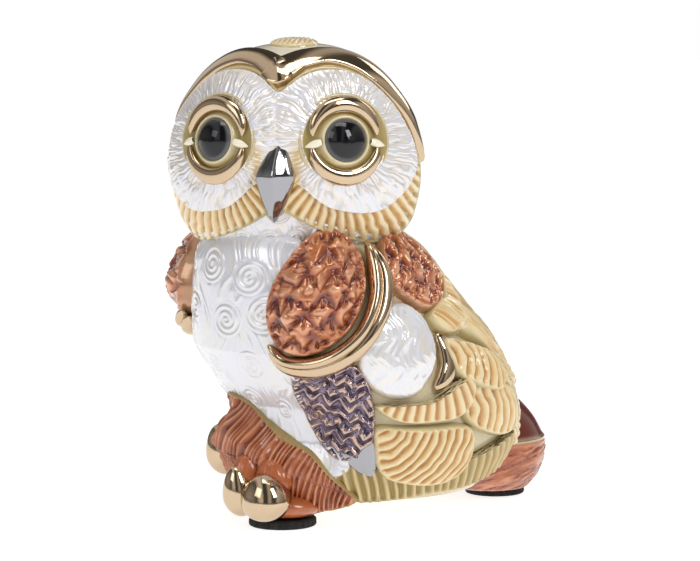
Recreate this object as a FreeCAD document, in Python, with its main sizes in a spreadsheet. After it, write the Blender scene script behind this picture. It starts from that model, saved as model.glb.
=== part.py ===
import FreeCAD, Part

import math
import os

# Seated owl figurine in glazed ceramic, mm.
# +Z is up, the breast faces -Y and the owl's left is +X; the floor is z = 0.
# The body and the head are two hollow castings. Everything on them is a relief
# panel of even thickness, laid over the casting like a scale.

os.makedirs("parts", exist_ok=True)
doc = FreeCAD.newDocument("OwlFigurine")
sheet = doc.addObject("Spreadsheet::Sheet", "Dimensions")
Vector = FreeCAD.Vector
Rotation = FreeCAD.Rotation
Placement = FreeCAD.Placement
UP = Vector(0, 0, 1)
ACROSS = Vector(1, 0, 0)

sizes = {}


def dim(name, value):
    """Put a driving dimension in the next sheet row and return its expression."""
    row = len(sizes) + 1
    sheet.set("A%d" % row, name)
    sheet.set("B%d" % row, str(value))
    sheet.setAlias("B%d" % row, name)
    sizes[name] = value
    return "Dimensions." + name


# ---------------------------------------------------------------- dimensions
dim("wall", 4.0)
dim("vent_radius", 3.5)
dim("neck_passage_radius", 6.0)
dim("head_yaw", 48.0)
dim("head_forward", 17.7)
dim("body_axis_forward", 5.7)
dim("pad_thickness", 1.8)
dim("cover_drop", 0.7)
dim("prism_reach", 48.0)

# Panel thicknesses over the castings.
dim("breast_thickness", 1.4)
dim("shoulder_thickness", 4.8)
dim("rim_thickness", 2.6)
dim("scapular_thickness", 3.4)
dim("covert_thickness", 3.0)
dim("flank_thickness", 2.2)
dim("feather_thickness", 2.2)
dim("under_feather_thickness", 1.6)
dim("mantle_thickness", 1.8)
dim("leg_thickness", 2.4)
dim("mask_thickness", 1.6)
dim("brow_thickness", 1.3)

# Cross-sections: height, fore-aft centre, half width, half length.
BODY_SECTIONS = [
    (1.8, -2.7, 16.5, 20.0),
    (5.0, -1.7, 22.6, 25.5),
    (10.0, -0.7, 26.0, 29.5),
    (17.0, -0.2, 28.4, 32.4),
    (26.0, -1.9, 29.2, 32.6),
    (35.0, -5.8, 28.4, 30.2),
    (44.0, -10.4, 26.0, 26.3),
    (52.0, -13.3, 22.9, 23.3),
    (59.0, -15.9, 18.2, 18.4),
]
HEAD_SECTIONS = [
    (55.0, 0.0, 14.0, 12.0),
    (58.0, 0.0, 19.6, 16.1),
    (64.0, 0.0, 24.2, 20.0),
    (73.5, 0.0, 26.0, 21.8),
    (82.0, 0.0, 24.8, 21.1),
    (90.0, 0.0, 20.4, 17.7),
    (95.5, 0.0, 14.2, 12.3),
    (98.0, 0.0, 7.5, 6.4),
]
TAIL_LOWER_SECTIONS = [
    (1.8, 33.4, 9.0, 8.2),
    (5.0, 32.2, 13.0, 12.0),
    (9.0, 31.0, 15.0, 14.6),
    (12.5, 30.3, 15.2, 15.1),
]
TAIL_UPPER_SECTIONS = [
    (12.5, 30.3, 15.2, 15.1),
    (19.0, 28.8, 13.4, 13.4),
    (25.0, 26.3, 9.6, 9.6),
    (29.0, 23.3, 5.0, 5.0),
]
BEAK_SECTIONS = [
    (63.4, 20.4, 0.5, 0.5),
    (66.5, 22.2, 2.2, 2.0),
    (69.0, 22.9, 3.4, 2.8),
    (72.3, 23.2, 4.1, 3.4),
    (75.5, 23.0, 2.6, 2.5),
    (79.6, 21.8, 0.9, 0.6),
]


def bind(item, **expressions):
    """Bind several properties of an object to sheet expressions."""
    for prop, expression in expressions.items():
        item.setExpression(prop, expression)


def feature(kind, label, placement=None):
    item = doc.addObject(kind, label)
    item.Label = label
    if placement is not None:
        item.Placement = placement
    return item


def cut(label, base, *tools):
    """Take the tools from the base one after another."""
    for number, tool in enumerate(tools):
        last = number == len(tools) - 1
        item = feature("Part::Cut", label if last else "%s_trim_%d" % (label, number))
        item.Base = base
        item.Tool = tool
        base = item
    return base


def common(label, base, tool):
    item = feature("Part::Common", label)
    item.Base = base
    item.Tool = tool
    return item


def fuse(label, base, tool):
    item = feature("Part::Fuse", label)
    item.Base = base
    item.Tool = tool
    return item


def mirrored(label, source):
    """The same solid on the owl's right, across the plane x = 0."""
    item = feature("Part::Mirroring", label)
    item.Source = source
    item.Normal = ACROSS
    item.Base = Vector(0, 0, 0)
    return item


# ---------------------------------------------------------------- castings
def enter_sections(name, sections):
    for number, (height, centre, half_x, half_y) in enumerate(sections):
        dim("%s_height_%d" % (name, number), height)
        dim("%s_centre_%d" % (name, number), centre)
        dim("%s_half_x_%d" % (name, number), half_x)
        dim("%s_half_y_%d" % (name, number), half_y)


for name, sections in (("body", BODY_SECTIONS), ("head", HEAD_SECTIONS),
                       ("tail_lower", TAIL_LOWER_SECTIONS),
                       ("tail_upper", TAIL_UPPER_SECTIONS), ("beak", BEAK_SECTIONS)):
    enter_sections(name, sections)


def skin(label, name, count, grow="0", turn=0.0, centre=Vector(0, 0, 0), squeeze=None,
         facing=1.0, top_rise="0"):
    """A solid lofted through the named cross-sections, grown outward by `grow`.

    squeeze is the gap left at both ends when the loft is an inner hollow, and
    top_rise lifts the last cross-section."""
    ellipses = []
    first = "Dimensions.%s_height_0" % name
    last = "Dimensions.%s_height_%d" % (name, count - 1)
    for number in range(count):
        prefix = "%s_" % name
        half_x = "Dimensions.%shalf_x_%d" % (prefix, number)
        half_y = "Dimensions.%shalf_y_%d" % (prefix, number)
        height = "Dimensions.%sheight_%d" % (prefix, number)
        wide = sizes["%shalf_x_%d" % (prefix, 1)] >= sizes["%shalf_y_%d" % (prefix, 1)]
        ring = feature("Part::Ellipse", "%s_section_%d" % (label, number))
        quarter = 0.0 if wide else 90.0
        ring.Placement.Rotation = Rotation(UP, turn + quarter)
        long_half, short_half = (half_x, half_y) if wide else (half_y, half_x)
        bind(ring, MajorRadius="%s + %s" % (long_half, grow),
             MinorRadius="%s + %s" % (short_half, grow))
        if squeeze:
            span = "(%s - %s)" % (last, first)
            height = "%s + %s + (%s - %s) * (%s - 2 * %s) / %s" % (
                first, squeeze, height, first, span, squeeze, span)
        elif number == count - 1:
            height = "%s + %s" % (height, top_rise)
        angle = math.radians(turn)
        offset = "Dimensions.%scentre_%d" % (prefix, number)
        bind(ring, **{
            ".Placement.Base.x": "%s - %s * %s" % (centre.x, offset, facing * math.sin(angle)),
            ".Placement.Base.y": "%s + %s * %s" % (centre.y, offset, facing * math.cos(angle)),
            ".Placement.Base.z": height})
        ellipses.append(ring)
    item = feature("Part::Loft", label)
    item.Sections = ellipses
    item.Solid = True
    item.Ruled = False
    return item


HEAD_YAW = sizes["head_yaw"]
HEAD_CENTRE = Vector(0, -sizes["head_forward"], 0)
FACE = Vector(math.sin(math.radians(HEAD_YAW)), -math.cos(math.radians(HEAD_YAW)), 0)
SIDE = Vector(math.cos(math.radians(HEAD_YAW)), math.sin(math.radians(HEAD_YAW)), 0)


def body_skin(label, thickness="0", top_rise="0"):
    return skin(label, "body", len(BODY_SECTIONS), thickness, top_rise=top_rise)


def head_skin(label, thickness="0"):
    return skin(label, "head", len(HEAD_SECTIONS), thickness, HEAD_YAW, HEAD_CENTRE,
                top_rise=thickness)


body_outer = body_skin("body_outer")
body_hollow = skin("body_hollow", "body", len(BODY_SECTIONS), "-Dimensions.wall",
                   squeeze="Dimensions.wall")
head_outer = head_skin("head_outer")
head_hollow = skin("head_hollow", "head", len(HEAD_SECTIONS), "-Dimensions.wall", HEAD_YAW,
                   HEAD_CENTRE, squeeze="Dimensions.wall")
head_cover = head_skin("head_cover", "Dimensions.mask_thickness")

vent = feature("Part::Cylinder", "vent", Placement(Vector(0, 2, -1), Rotation()))
bind(vent, Radius="Dimensions.vent_radius", Height="Dimensions.wall + 8")
neck_passage = feature("Part::Cylinder", "neck_passage",
                       Placement(HEAD_CENTRE + Vector(0, 2, 46), Rotation()))
bind(neck_passage, Radius="Dimensions.neck_passage_radius", Height="Dimensions.wall + 12")

nodes = {}
nodes["body_shell"] = cut("body_shell", body_outer, body_hollow, vent, neck_passage, head_outer)


# ---------------------------------------------------------------- outlines
def outline(label, azimuth, along, height, half_along, half_up, tilt=0.0,
            axis=None, start=12.0):
    """An oval prism that leaves the upright axis in the direction `azimuth`.

    azimuth is measured from the breast towards the owl's left; `along` runs
    backwards round the body from that direction, and tilt turns the oval."""
    if axis is None:
        axis = Vector(0, -sizes["body_axis_forward"], 0)
    angle = math.radians(azimuth)
    outward = Vector(math.sin(angle), -math.cos(angle), 0)
    round_body = Vector(math.cos(angle), math.sin(angle), 0)
    wide = half_along >= half_up
    long_half = dim(label + "_long_half", half_along if wide else half_up)
    short_half = dim(label + "_short_half", half_up if wide else half_along)
    turn = Rotation(UP, azimuth).multiply(Rotation(ACROSS, 90))
    turn = turn.multiply(Rotation(UP, tilt if wide else tilt + 90))
    base = axis + round_body * along + UP * height + outward * start
    ring = feature("Part::Ellipse", label + "_oval", Placement(base, turn))
    bind(ring, MajorRadius=long_half, MinorRadius=short_half)
    prism = feature("Part::Extrusion", label + "_prism")
    prism.Base = ring
    prism.DirMode = "Custom"
    prism.Dir = outward
    prism.Solid = True
    bind(prism, LengthFwd="Dimensions.prism_reach")
    return prism


# ---------------------------------------------------------------- tail and feet
tail_lower = skin("tail_lower_block", "tail_lower", len(TAIL_LOWER_SECTIONS))
tail_upper = skin("tail_upper_block", "tail_upper", len(TAIL_UPPER_SECTIONS))
nodes["tail_top"] = cut("tail_top", tail_upper, body_outer)
nodes["tail_underside"] = cut("tail_underside", tail_lower, body_outer)

# The toes fan out from each foot. The right foot is a mirror image of the left
# one, splayed outward, drawn back and held above the table.
FOOT_CENTRE = Vector(8.8, -25.6, 0)
FOOT_BALL = Vector(9.4, -28.4, 6.2)
FOOT_BALL_TURN = 15.0
# Hand of the foot, splay in degrees, and how far it is moved.
FEET = {"left": (1, 0.0, Vector(0, 0, 0)), "right": (-1, -20.0, Vector(0, 5.6, 6.0))}
# Talon: centre x, y, z, half width, half length, half height, turn.
TALONS = {
    "outer": (12.6, -32.2, 6.9, 4.6, 4.4, 4.9, 26.0),
    "middle": (6.2, -34.8, 7.6, 3.3, 3.4, 5.0, 4.0),
    "inner": (2.7, -32.4, 7.2, 2.2, 3.0, 4.4, -12.0),
}


def on_foot(side, x, y, z):
    """Where a point of the left foot lies on the foot of that side."""
    hand, splay, shift = FEET[side]
    heel = Vector(hand * FOOT_CENTRE.x, FOOT_CENTRE.y, 0)
    return heel + Rotation(UP, splay).multVec(Vector(hand * x, y, z) - heel) + shift


talon_solids = {"left": {}, "right": {}}
foot_balls = {}
for name, (x, y, z, half_x, half_y, half_z, turn) in TALONS.items():
    dim("talon_%s_half_height" % name, half_z)
    dim("talon_%s_half_width" % name, half_x)
    dim("talon_%s_half_length" % name, half_y)
for side, (hand, splay, shift) in FEET.items():
    for name, (x, y, z, half_x, half_y, half_z, turn) in TALONS.items():
        # The seam of each ball lies towards the other foot, clear of the next talon.
        seam = 180.0 if side == "left" else 0.0
        spin = Rotation(UP, hand * turn + splay + seam)
        talon = feature("Part::Ellipsoid", "talon_%s_%s_ball" % (name, side),
                        Placement(on_foot(side, x, y, z), spin))
        bind(talon, Radius1="Dimensions.talon_%s_half_height" % name,
             Radius2="Dimensions.talon_%s_half_width" % name,
             Radius3="Dimensions.talon_%s_half_length" % name)
        talon_solids[side][name] = talon
    spin = Rotation(UP, hand * FOOT_BALL_TURN + splay)
    ball = feature("Part::Ellipsoid", "foot_%s_ball" % side,
                   Placement(on_foot(side, *FOOT_BALL), spin))
    bind(ball, Radius1=dim("foot_%s_half_height" % side, 4.4),
         Radius2=dim("foot_%s_half_width" % side, 9.4),
         Radius3=dim("foot_%s_half_length" % side, 9.0))
    foot_balls[side] = ball


# ---------------------------------------------------------------- body panels
# Each left-hand panel: node, azimuth, along, height, half along, half up, tilt,
# thickness. A panel is trimmed by every panel above it in this list.
LEFT_PANELS = [
    ("shoulder_medallion", 50, -1.4, 46.8, 10.9, 12.4, -8, "shoulder_thickness"),
    ("shoulder_rim", 50, -0.2, 45.4, 12.5, 13.9, -8, "rim_thickness"),
    ("scapular_patch", 90, 3.2, 51.8, 9.2, 7.6, -28, "scapular_thickness"),
    ("scapular_rim", 90, 4.6, 50.8, 9.4, 7.8, -28, "rim_thickness"),
    ("flank_patch", 60, -2.6, 25.2, 11.6, 8.6, -38, "flank_thickness"),
    ("flank_tip", 60, 3.0, 16.9, 5.2, 3.9, 50, "flank_thickness"),
    ("pearl_covert", 90, -3.6, 36.2, 10.0, 9.6, 0, "covert_thickness"),
    ("covert_rim", 90, -2.0, 35.4, 10.4, 9.8, 0, "rim_thickness"),
    ("middle_feathers", 90, 8.5, 27.5, 20.5, 8.2, -12, "feather_thickness"),
    ("upper_feathers", 110, 9.5, 41.0, 17.5, 14.0, -50, "feather_thickness"),
    ("lower_feathers", 90, -1.0, 16.0, 16.5, 8.6, 6, "feather_thickness"),
]

left_leg = outline("leg_left", 22, 2.5, 9.0, 27.0, 8.6, -30, start=2.0)
trimming = [head_cover, body_outer, tail_lower, tail_upper]
# Paired panels stop this far from the plane between left and right.
MIDLINE_GAP = 0.2
covers = {}
mantle_prism = outline("mantle", 180, 0.0, 35.0, 16.5, 28.0, start=2.0)
left_prisms = [mantle_prism]
prism_of = {}


def cover(thickness):
    """The body grown by a panel thickness; panels of one thickness share it."""
    if thickness not in covers:
        covers[thickness] = body_skin("cover_" + thickness, "Dimensions." + thickness,
                                      "-Dimensions.cover_drop")
    return covers[thickness]


for (name, azimuth, along, height, half_along, half_up, tilt, thickness) in LEFT_PANELS:
    node = name + "_left"
    prism = outline(node, azimuth, along, height, half_along, half_up, tilt)
    slab = common(node + "_slab", cover(thickness), prism)
    nodes[node] = cut(node, slab, *(left_prisms + trimming))
    nodes[name + "_right"] = mirrored(name + "_right", nodes[node])
    left_prisms.append(prism)
    prism_of[name] = prism

# The trousers run from the front of the breast back under the wing.
leg_slab = common("leg_left_slab", cover("leg_thickness"), left_leg)
left_side = feature("Part::Box", "left_side",
                    Placement(Vector(MIDLINE_GAP, -70, -5), Rotation()))
bind(left_side, Length="60", Width="140", Height="120")
leg_half = common("leg_left_half", leg_slab, left_side)
trousers = {"left": cut("trousers_left", leg_half, *(left_prisms + [body_outer]))}
trousers["right"] = mirrored("trousers_right", trousers["left"])
floor_clear = feature("Part::Box", "under_feet", Placement(Vector(-60, -80, -20), Rotation()))
bind(floor_clear, Length="120", Width="160", Height="20 + Dimensions.pad_thickness")
for side in FEET:
    talons = talon_solids[side]
    leg_and_foot = fuse("leg_and_foot_" + side, trousers[side], foot_balls[side])
    nodes["leg_" + side] = cut("leg_" + side, leg_and_foot, body_outer, floor_clear,
                               *talons.values())
    before = []
    for name, talon in talons.items():
        node = "talon_%s_%s" % (name, side)
        nodes[node] = cut(node, talon, body_outer, floor_clear, *before)
        before.append(talon)


# The breast fills the front between the wings, the legs and the chin.
breast_trims = [prism_of[name] for name in ("shoulder_medallion", "shoulder_rim",
                                            "flank_patch", "flank_tip")]
right_prisms = [mirrored(prism.Label + "_right", prism) for prism in breast_trims]
leg_prism_right = mirrored("leg_prism_right", left_leg)
breast_prism = fuse("breast_prism", outline("breast_upper", 0, 0.0, 42.0, 17.0, 26.0, start=2.0),
                    outline("breast_lower", 0, 0.0, 20.0, 26.0, 11.0, start=2.0))
breast_slab = common("breast_slab", cover("breast_thickness"), breast_prism)
nodes["breast_panel"] = cut("breast_panel", breast_slab, *(
    breast_trims + right_prisms + [left_leg, leg_prism_right, head_cover, body_outer]))

# A row of small feathers closes the hem under the wing and round to the tail.
hem_box = feature("Part::Box", "hem_box", Placement(Vector(MIDLINE_GAP, -27, 0), Rotation()))
bind(hem_box, Length="60", Width="60", Height=dim("hem_top", 13.0))
hem_slab = common("hem_slab", cover("under_feather_thickness"), hem_box)
nodes["hem_feathers_left"] = cut("hem_feathers_left", hem_slab, *(
    left_prisms + [left_leg, breast_prism] + trimming))
nodes["hem_feathers_right"] = mirrored("hem_feathers_right", nodes["hem_feathers_left"])

# The mantle covers the back between the wings, from the nape to the tail.
mantle_slab = common("mantle_slab", cover("mantle_thickness"), mantle_prism)
nodes["mantle"] = cut("mantle", mantle_slab, *trimming)


# ---------------------------------------------------------------- head
def face_outline(label, sideways, height, half_along, half_up, tilt=0.0):
    return outline(label, HEAD_YAW, sideways, height, half_along, half_up, tilt, HEAD_CENTRE,
                   start=2.0)


def on_face(sideways, forward, height):
    return HEAD_CENTRE + SIDE * sideways + FACE * forward + UP * height


EYE_SIDEWAYS = 14.0
EYE_FORWARD = 19.4
EYE_HEIGHT = 80.0
EYE_TURN = 28.0
dim("eye_radius", 5.0)
dim("lid_ring_radius", 7.9)
dim("lid_roll_radius", 1.2)
dim("inner_ring_radius", 5.4)
dim("inner_roll_radius", 0.9)
dim("eye_sink", 2.2)

eye_parts = []
for side, sign in (("left", 1), ("right", -1)):
    azimuth = HEAD_YAW + sign * EYE_TURN
    outward = Vector(math.sin(math.radians(azimuth)), -math.cos(math.radians(azimuth)), 0)
    centre = on_face(sign * EYE_SIDEWAYS, EYE_FORWARD, EYE_HEIGHT)
    turn = Rotation(UP, azimuth).multiply(Rotation(ACROSS, 84))
    eye = feature("Part::Sphere", "eye_%s_ball" % side,
                  Placement(centre - outward * sizes["eye_sink"], turn))
    bind(eye, Radius="Dimensions.eye_radius")
    ring = feature("Part::Torus", "eye_ring_%s_roll" % side, Placement(centre, turn))
    bind(ring, Radius1="Dimensions.inner_ring_radius", Radius2="Dimensions.inner_roll_radius")
    nodes["eye_%s" % side] = cut("eye_%s" % side, eye, ring, head_hollow)
    nodes["eye_ring_%s" % side] = ring
    eye_parts += [eye, ring]
    for lid, start_angle in (("upper", 8.0), ("lower", 188.0)):
        node = "%s_eyelid_%s" % (lid, side)
        spin = turn.multiply(Rotation(UP, start_angle))
        roll = feature("Part::Torus", node + "_roll", Placement(centre, spin))
        bind(roll, Radius1="Dimensions.lid_ring_radius", Radius2="Dimensions.lid_roll_radius",
             Angle3=dim(node + "_sweep", 164.0))
        nodes[node] = roll
        eye_parts.append(roll)

beak_solid = skin("beak_solid", "beak", len(BEAK_SECTIONS), "0", HEAD_YAW, HEAD_CENTRE,
                  facing=-1.0)
nodes["beak"] = cut("beak", beak_solid, head_outer)

crown_button = feature("Part::Ellipsoid", "crown_button",
                       Placement(HEAD_CENTRE + Vector(0, 0, 97.4), Rotation(UP, HEAD_YAW)))
bind(crown_button, Radius1=dim("crown_half_height", 2.2), Radius2=dim("crown_half_width", 6.0),
     Radius3=dim("crown_half_depth", 5.0))
nodes["crown_patch"] = cut("crown_patch", crown_button, head_outer)

mask_prism = face_outline("mask", 0.0, 74.0, 26.0, 18.6)
disc_left = face_outline("disc_left", 11.5, 79.0, 15.0, 14.0)
disc_right = face_outline("disc_right", -11.5, 79.0, 15.0, 14.0)
discs = fuse("discs", disc_left, disc_right)
notch = feature("Part::Box", "brow_notch", Placement(
    on_face(0, 42, 88.8), Rotation(UP, HEAD_YAW).multiply(Rotation(Vector(0, 1, 0), -45))))
bind(notch, Length="12", Width="40", Height="12")
mask_outline = cut("mask_outline", mask_prism, notch)
brow_cover = head_skin("brow_cover", "Dimensions.brow_thickness")
front_head = common("front_head", head_cover, mask_outline)
white_face = common("white_face", front_head, discs)
nodes["face_mask"] = cut("face_mask", white_face, head_outer, beak_solid, *eye_parts)
nodes["face_ruff"] = cut("face_ruff", front_head, head_outer, discs, beak_solid)
brow_prism = face_outline("brow", 0.0, 75.4, 27.6, 20.8)
brow_slab = common("brow_slab", brow_cover, brow_prism)
nodes["brow_band"] = cut("brow_band", brow_slab, head_outer, mask_outline, crown_button)
nodes["head_shell"] = cut("head_shell", head_outer, head_hollow, neck_passage, *eye_parts)

# ---------------------------------------------------------------- felt pads
for node, x, y, radius in (("foot_pad_left", 8.5, -25.8, 7.0), ("foot_pad_right", -8.5, -17.0, 6.0),
                           ("tail_pad", 0.0, 33.4, 6.5)):
    pad = feature("Part::Cylinder", node, Placement(Vector(x, y, 0), Rotation()))
    bind(pad, Radius=dim(node + "_radius", radius), Height="Dimensions.pad_thickness")
    nodes[node] = pad

doc.recompute()

# ---------------------------------------------------------------- checks and export
for item in doc.Objects:
    if "Invalid" in item.State or "Error" in item.State:
        raise RuntimeError("%s did not build: %s" % (item.Label, item.State))
overall = None
for name, item in nodes.items():
    shape = item.Shape
    if shape.isNull() or not shape.isValid() or not shape.Solids:
        raise RuntimeError("%s has no valid solid" % name)
    box = shape.optimalBoundingBox()
    print("%-26s %d solid(s) %8.1f mm3" % (name, len(shape.Solids), shape.Volume))
    if overall is None:
        overall = FreeCAD.BoundBox(box)
    overall.add(box)
for name, item in nodes.items():
    item.Shape.exportStep("parts/%s.step" % name)
print(overall)
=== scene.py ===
import math

import bpy
import numpy as np
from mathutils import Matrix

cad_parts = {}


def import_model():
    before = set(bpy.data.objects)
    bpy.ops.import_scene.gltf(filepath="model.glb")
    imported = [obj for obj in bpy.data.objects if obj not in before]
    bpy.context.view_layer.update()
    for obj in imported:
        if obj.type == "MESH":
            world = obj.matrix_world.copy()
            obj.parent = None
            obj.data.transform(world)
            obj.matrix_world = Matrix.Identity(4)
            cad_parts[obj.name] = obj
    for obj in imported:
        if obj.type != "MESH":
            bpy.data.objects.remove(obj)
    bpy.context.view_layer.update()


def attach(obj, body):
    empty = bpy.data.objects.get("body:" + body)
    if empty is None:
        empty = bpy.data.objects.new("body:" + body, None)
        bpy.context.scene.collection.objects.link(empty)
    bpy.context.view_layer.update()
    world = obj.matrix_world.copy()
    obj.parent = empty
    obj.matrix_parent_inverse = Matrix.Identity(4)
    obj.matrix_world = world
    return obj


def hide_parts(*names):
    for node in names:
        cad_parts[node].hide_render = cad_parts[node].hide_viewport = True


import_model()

# A glazed ceramic owl. Lengths are millimetres until a mesh is made, the owl's front is -Y and
# its left +X. Most pieces are sheets of points laid on one of two plain forms, the body and the
# head, and raised from it by a height that a relief function works out. The eyes, beak, tail,
# toes, talons and pads have shapes of their own.

CELL = 0.2
FINE = 0.16
TAU = 2 * math.pi
UPRIGHT = np.array([0, 0, 1.0])


# ---------------------------------------------------------------- number helpers
def smooth(low, high, value):
    t = np.clip((value - low) / (high - low), 0, 1)
    return t * t * (3 - 2 * t)


def lattice(column, row, seed):
    """A repeatable random number from 0 to 1 for each lattice point."""
    mixed = (column * 374761393 + row * 668265263 + seed * 144269504) & 0x7FFFFFFF
    mixed = ((mixed ^ (mixed >> 13)) * 1274126177) & 0x7FFFFFFF
    return ((mixed >> 7) & 0xFFFF) / 65535.0


def noise(x, y, seed=0, period=None):
    """Smooth value noise from 0 to 1; period makes it repeat in x."""
    column = np.floor(x).astype(np.int64)
    row = np.floor(y).astype(np.int64)
    fx = x - column
    fy = y - row
    fx = fx * fx * (3 - 2 * fx)
    fy = fy * fy * (3 - 2 * fy)
    after = column + 1
    if period:
        column = column % period
        after = after % period
    low = lattice(column, row, seed) * (1 - fx) + lattice(after, row, seed) * fx
    high = lattice(column, row + 1, seed) * (1 - fx) + lattice(after, row + 1, seed) * fx
    return low * (1 - fy) + high * fy


def folded(x, y, seed, period=None):
    """Noise folded about its middle: 0 along thin lines and up to 1 between them."""
    return np.abs(2 * noise(x, y, seed, period) - 1)


def curve(points, count, closed=False):
    """Points evenly spread along a smooth curve through the given ones."""
    knots = np.array(points, float)
    if closed:
        padded = np.vstack([knots[-1:], knots, knots[:2]])
    else:
        padded = np.vstack([2 * knots[0] - knots[1], knots, 2 * knots[-1] - knots[-2]])
    fine = []
    for before, start, end, after in zip(padded, padded[1:], padded[2:], padded[3:]):
        t = np.linspace(0, 1, 24, endpoint=False)[:, None]
        fine.append(0.5 * (2 * start + (end - before) * t
                           + (2 * before - 5 * start + 4 * end - after) * t ** 2
                           + (3 * start - before - 3 * end + after) * t ** 3))
    fine.append(knots[:1] if closed else knots[-1:])
    fine = np.vstack(fine)
    length = np.concatenate([[0], np.cumsum(np.linalg.norm(np.diff(fine, axis=0), axis=1))])
    at = np.linspace(0, length[-1], count)
    return np.stack([np.interp(at, length, fine[:, k]) for k in range(fine.shape[1])], axis=1)


def turned(x, y, degrees):
    angle = math.radians(degrees)
    return (x * math.cos(angle) + y * math.sin(angle),
            y * math.cos(angle) - x * math.sin(angle))


# ---------------------------------------------------------------- the two forms
class Form:
    """A smooth closed form with oval cross-sections (height, centre, half width, half depth)."""

    def __init__(self, sections, origin=(0, 0), yaw=0.0):
        table = np.array(sections, float)
        self.origin = np.array([origin[0], origin[1], 0.0])
        angle = math.radians(yaw)
        self.side = np.array([math.cos(angle), math.sin(angle), 0])
        self.front = np.array([math.sin(angle), -math.cos(angle), 0])
        self.heights = np.linspace(table[0, 0], table[-1, 0], 1500)
        self.centre = self.ease(table[:, 0], table[:, 1])
        self.wide = self.ease(table[:, 0], table[:, 2] ** 2)
        self.deep = self.ease(table[:, 0], table[:, 3] ** 2)

    def ease(self, at, values):
        """Monotone cubic interpolation of one column over all heights."""
        step = np.diff(at)
        slope = np.diff(values) / step
        tangent = np.zeros(len(values))
        same = slope[:-1] * slope[1:] > 0
        total = np.where(same, slope[:-1] + slope[1:], 1)
        tangent[1:-1] = np.where(same, 2 * slope[:-1] * slope[1:] / total, 0)
        tangent[0] = slope[0]
        tangent[-1] = slope[-1]
        k = np.clip(np.searchsorted(at, self.heights) - 1, 0, len(step) - 1)
        t = (self.heights - at[k]) / step[k]
        return ((1 + 2 * t) * (1 - t) ** 2 * values[k] + t * (1 - t) ** 2 * step[k] * tangent[k]
                + t * t * (3 - 2 * t) * values[k + 1] + t * t * (t - 1) * step[k] * tangent[k + 1])

    def local(self, points):
        moved = points - self.origin
        return moved @ self.side, moved @ -self.front, moved[..., 2]

    def level(self, points):
        """Negative inside, zero on the surface."""
        x, y, z = self.local(points)
        centre = np.interp(z, self.heights, self.centre)
        wide = np.maximum(np.interp(z, self.heights, self.wide), 0.01)
        deep = np.maximum(np.interp(z, self.heights, self.deep), 0.01)
        outside = (z < self.heights[0]) | (z > self.heights[-1])
        return x * x / wide + (y - centre) ** 2 / deep - 1 + outside * 4.0

    def cast(self, start, direction, reach=60.0):
        """Where rays from inside the form leave it."""
        near = np.zeros(len(start))
        far = np.full(len(start), reach)
        for _ in range(18):
            middle = (near + far) / 2
            inside = self.level(start + direction * middle[:, None]) < 0
            near = np.where(inside, middle, near)
            far = np.where(inside, far, middle)
        return start + direction * near[:, None]

    def normals(self, points, reach=0.5):
        out = np.zeros_like(points)
        for axis in range(3):
            step = np.zeros(3)
            step[axis] = reach
            out[:, axis] = self.level(points + step) - self.level(points - step)
        return out / np.maximum(np.linalg.norm(out, axis=1), 1e-9)[:, None]

    def place(self, sideways, forward, height):
        """Points from distances to the form's side, to its front and up."""
        return (self.origin + self.side * sideways[:, None] + self.front * forward[:, None]
                + UPRIGHT * height[:, None])


BODY = Form([
    (1.3, -2.5, 0.0, 0.0), (1.9, -2.7, 16.5, 20.0), (5.0, -1.7, 22.6, 25.5),
    (10.0, -0.7, 26.0, 29.5), (17.0, -0.2, 28.4, 32.4), (26.0, -1.9, 29.2, 32.6),
    (35.0, -5.8, 28.4, 30.2), (44.0, -10.4, 26.0, 26.3), (52.0, -13.3, 22.9, 23.3),
    (59.0, -15.9, 18.2, 18.4), (62.0, -16.5, 0.0, 0.0)])
HEAD_YAW = 48.0
HEAD_AT = (0.35, -17.2)
HEAD = Form([
    (54.6, 0.0, 0.0, 0.0), (55.2, 0.0, 12.0, 10.5), (58.0, 0.0, 19.0, 15.5),
    (64.0, 0.0, 23.6, 19.4), (73.5, 0.0, 25.4, 21.2), (82.0, 0.0, 24.2, 20.5),
    (90.0, 0.0, 19.8, 17.1), (95.5, 0.0, 13.8, 11.9), (98.0, 0.0, 7.3, 6.2),
    (98.7, 0.0, 0.0, 0.0)], HEAD_AT, HEAD_YAW)
BODY_AXIS = np.array([0.0, -5.7, 0.0])
BODY_REACH = 28.0           # turns an angle round the body into millimetres
HEAD_MIDDLE = np.array([HEAD_AT[0], HEAD_AT[1], 74.0])
HEAD_REACH = 25.0


def body_rays(across, up):
    """Rays out from the body's upright axis; across is distance round from the breast."""
    angle = across / BODY_REACH
    direction = np.stack([np.sin(angle), -np.cos(angle), np.zeros_like(angle)], axis=1)
    start = BODY_AXIS + np.stack([0 * up, 0 * up, up], axis=1)
    return start, direction


def face_rays(across, up):
    """Rays out from the middle of the head; (0, 0) is the middle of the face."""
    angle = np.hypot(across, up) / HEAD_REACH
    scale = np.sin(angle) / np.maximum(np.hypot(across, up), 1e-9)
    direction = (np.cos(angle)[:, None] * HEAD.front + (scale * across)[:, None] * HEAD.side
                 + (scale * up)[:, None] * UPRIGHT)
    return np.repeat(HEAD_MIDDLE[None, :], len(across), axis=0), direction


def belly(across, up):
    """How far the breast draws in above the legs."""
    slope = 0.42 * np.clip(36.5 - up, 0, 13.0)
    return slope * (1 - smooth(20.0, 38.0, np.abs(across))) * smooth(8.0, 18.0, up)


# The legs lie on the plain body form and tuck in under the belly along their upper edge,
# which is at this height for each distance round from the middle of the breast.
LEG_TOP_ACROSS = [0.0, 6.8, 11.7, 16.6, 21.5, 26.4, 32.3]
LEG_TOP_HEIGHT = [26.2, 22.4, 20.2, 18.0, 15.2, 11.4, 6.4]
CHARTS = {"body": (BODY, body_rays), "leg": (BODY, body_rays), "face": (HEAD, face_rays)}


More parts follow.
